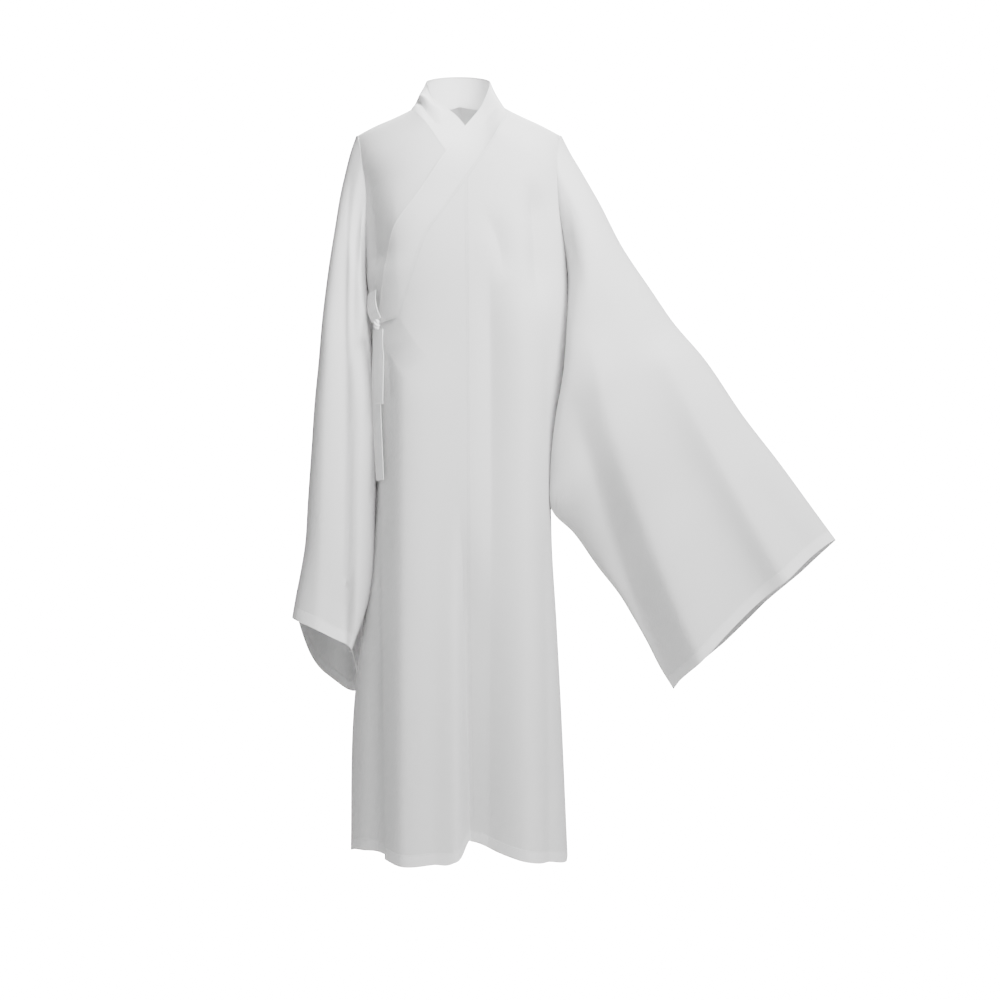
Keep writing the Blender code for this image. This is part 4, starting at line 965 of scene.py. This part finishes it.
def ribbon(name, path, rows):
    """A flat tie whose middle line follows the body surface at the path's distances."""
    line = along(path, rows)
    heading = unit(np.gradient(line[:, :2], axis=0))
    aside = np.stack([-heading[:, 1], heading[:, 0]], axis=-1)
    k = np.linspace(-0.5, 0.5, RIBBON_COLUMNS)[None, :, None] * TIE_WIDTH
    spots = line[:, None, :2] + aside[:, None] * k
    aw = at_front(spots[..., 0], spots[..., 1])
    n = body_normal(*at_front(line[:, 0], line[:, 1]).T)[:, None]
    outer = body(aw[..., 0], aw[..., 1]) + n * line[:, 2][:, None, None]
    return cloth(name, outer, outer - n * WALL, tie_cloth, free=("left", "right", "bottom"))


def tie_knot():
    """The knot, a lump with the ribbon wound round it."""
    spot, n = surface(at_front(KNOT[0], KNOT[1]))
    turn = math.atan2(n[1], n[0]) + math.pi / 2
    set_at = Matrix.Translation(spot + n * KNOT[2]) @ Matrix.Rotation(turn, 4, "Z")
    bm = bmesh.new()
    bmesh.ops.create_uvsphere(bm, u_segments=64, v_segments=40, radius=1.0)
    for v in bm.verts:
        x, y, z = v.co
        wrap = abs(math.sin(4.2 * (0.5 * x + z) + 0.6))          # turns wound aslant across the knot
        waist = 0.66 + 0.34 * abs(z)
        v.co = Vector((x * waist, y * (0.80 + 0.20 * wrap), z)) * (0.86 + 0.14 * wrap)
        v.co = Vector([c * half for c, half in zip(v.co, KNOT_HALF)])
    bmesh.ops.transform(bm, matrix=set_at, verts=bm.verts[:])
    uv = bm.loops.layers.uv.new("cloth")
    edges = bm.verts.layers.float_vector.new("edges")
    for v in bm.verts:
        v[edges] = (NO_EDGE, NO_EDGE, 1.0)
    for f in bm.faces:
        for loop in f.loops:
            loop[uv].uv = (loop.vert.co.x, loop.vert.co.z)
    mesh = bpy.data.meshes.new("tie_knot_ribbon")
    bm.to_mesh(mesh)
    bm.free()
    mesh.materials.append(tie_cloth)
    mesh.shade_smooth()
    return add_object("tie_knot_ribbon", mesh)


made["tie_side"] = ribbon("tie_side_ribbon", SIDE_TIE, rows=31)
made["tie_front_tail"] = ribbon("tie_front_ribbon", FRONT_TAIL, rows=61)
made["tie_back_tail"] = ribbon("tie_back_ribbon", BACK_TAIL, rows=101)
made["tie_knot"] = tie_knot()

# ---- the frame ----

for node, obj in made.items():
    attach(obj, "root")
    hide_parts(node)

# ---- stage ----


def seen_level(tree, seen, lit):
    """Strength of a light that the camera sees at one level and that lights the robe at another."""
    seen_by = add_node(tree, "LightPath").outputs["Is Camera Ray"]
    return add_node(tree, "MapRange", {"Value": seen_by, "To Min": lit, "To Max": seen}).outputs[0]


WHITE = (1.0, 1.0, 1.0, 1.0)
bm = bmesh.new()
bmesh.ops.create_grid(bm, x_segments=1, y_segments=1, size=8.0)
floor_mesh = bpy.data.meshes.new("floor")
bm.to_mesh(floor_mesh)
bm.free()
floor = add_object("floor", floor_mesh)
floor.location = (0, 0, FLOOR)
pale = bpy.data.materials.new("pale_floor")
pale.use_nodes = True
fill(pale.node_tree.nodes["Principled BSDF"], {
    "Base Color": (0.8, 0.8, 0.8, 1.0), "Roughness": 0.9, "Emission Color": WHITE,
    "Emission Strength": seen_level(pale.node_tree, seen=20.0, lit=0.1)})
floor_mesh.materials.append(pale)

world = bpy.data.worlds.new("studio")
bpy.context.scene.world = world
world.use_nodes = True
fill(world.node_tree.nodes["Background"],
     {"Color": WHITE, "Strength": seen_level(world.node_tree, seen=20.0, lit=0.25)})


def lamp(name, place, aim, size, power):
    """A round soft light at a place, turned to what it lights."""
    light = bpy.data.lights.new(name, "AREA")
    light.shape = "DISK"
    light.size = size
    light.energy = power
    obj = add_object(name, light)
    obj.location = place
    obj.rotation_euler = (Vector(aim) - Vector(place)).to_track_quat("-Z", "Y").to_euler()


lamp("key", (1.05, -1.30, 0.80), (0.0, 0.0, -0.35), 0.8, 110.0)
lamp("front", (0.10, -2.2, 0.25), (0.0, 0.0, -0.35), 0.7, 25.0)
lamp("top", (0.20, -0.85, 0.95), (0.0, 0.0, -0.05), 0.4, 30.0)
lamp("behind", (0.0, 0.85, 0.90), (0.0, 0.08, -0.02), 0.5, 60.0)

camera_data = bpy.data.cameras.new("camera")
camera_data.lens = 50.0
camera_data.sensor_width = 36.0
camera = add_object("camera", camera_data)
camera.location = (0.0738, -2.5, -0.698)
camera.rotation_euler = (math.pi / 2, 0, 0)
bpy.context.scene.camera = camera
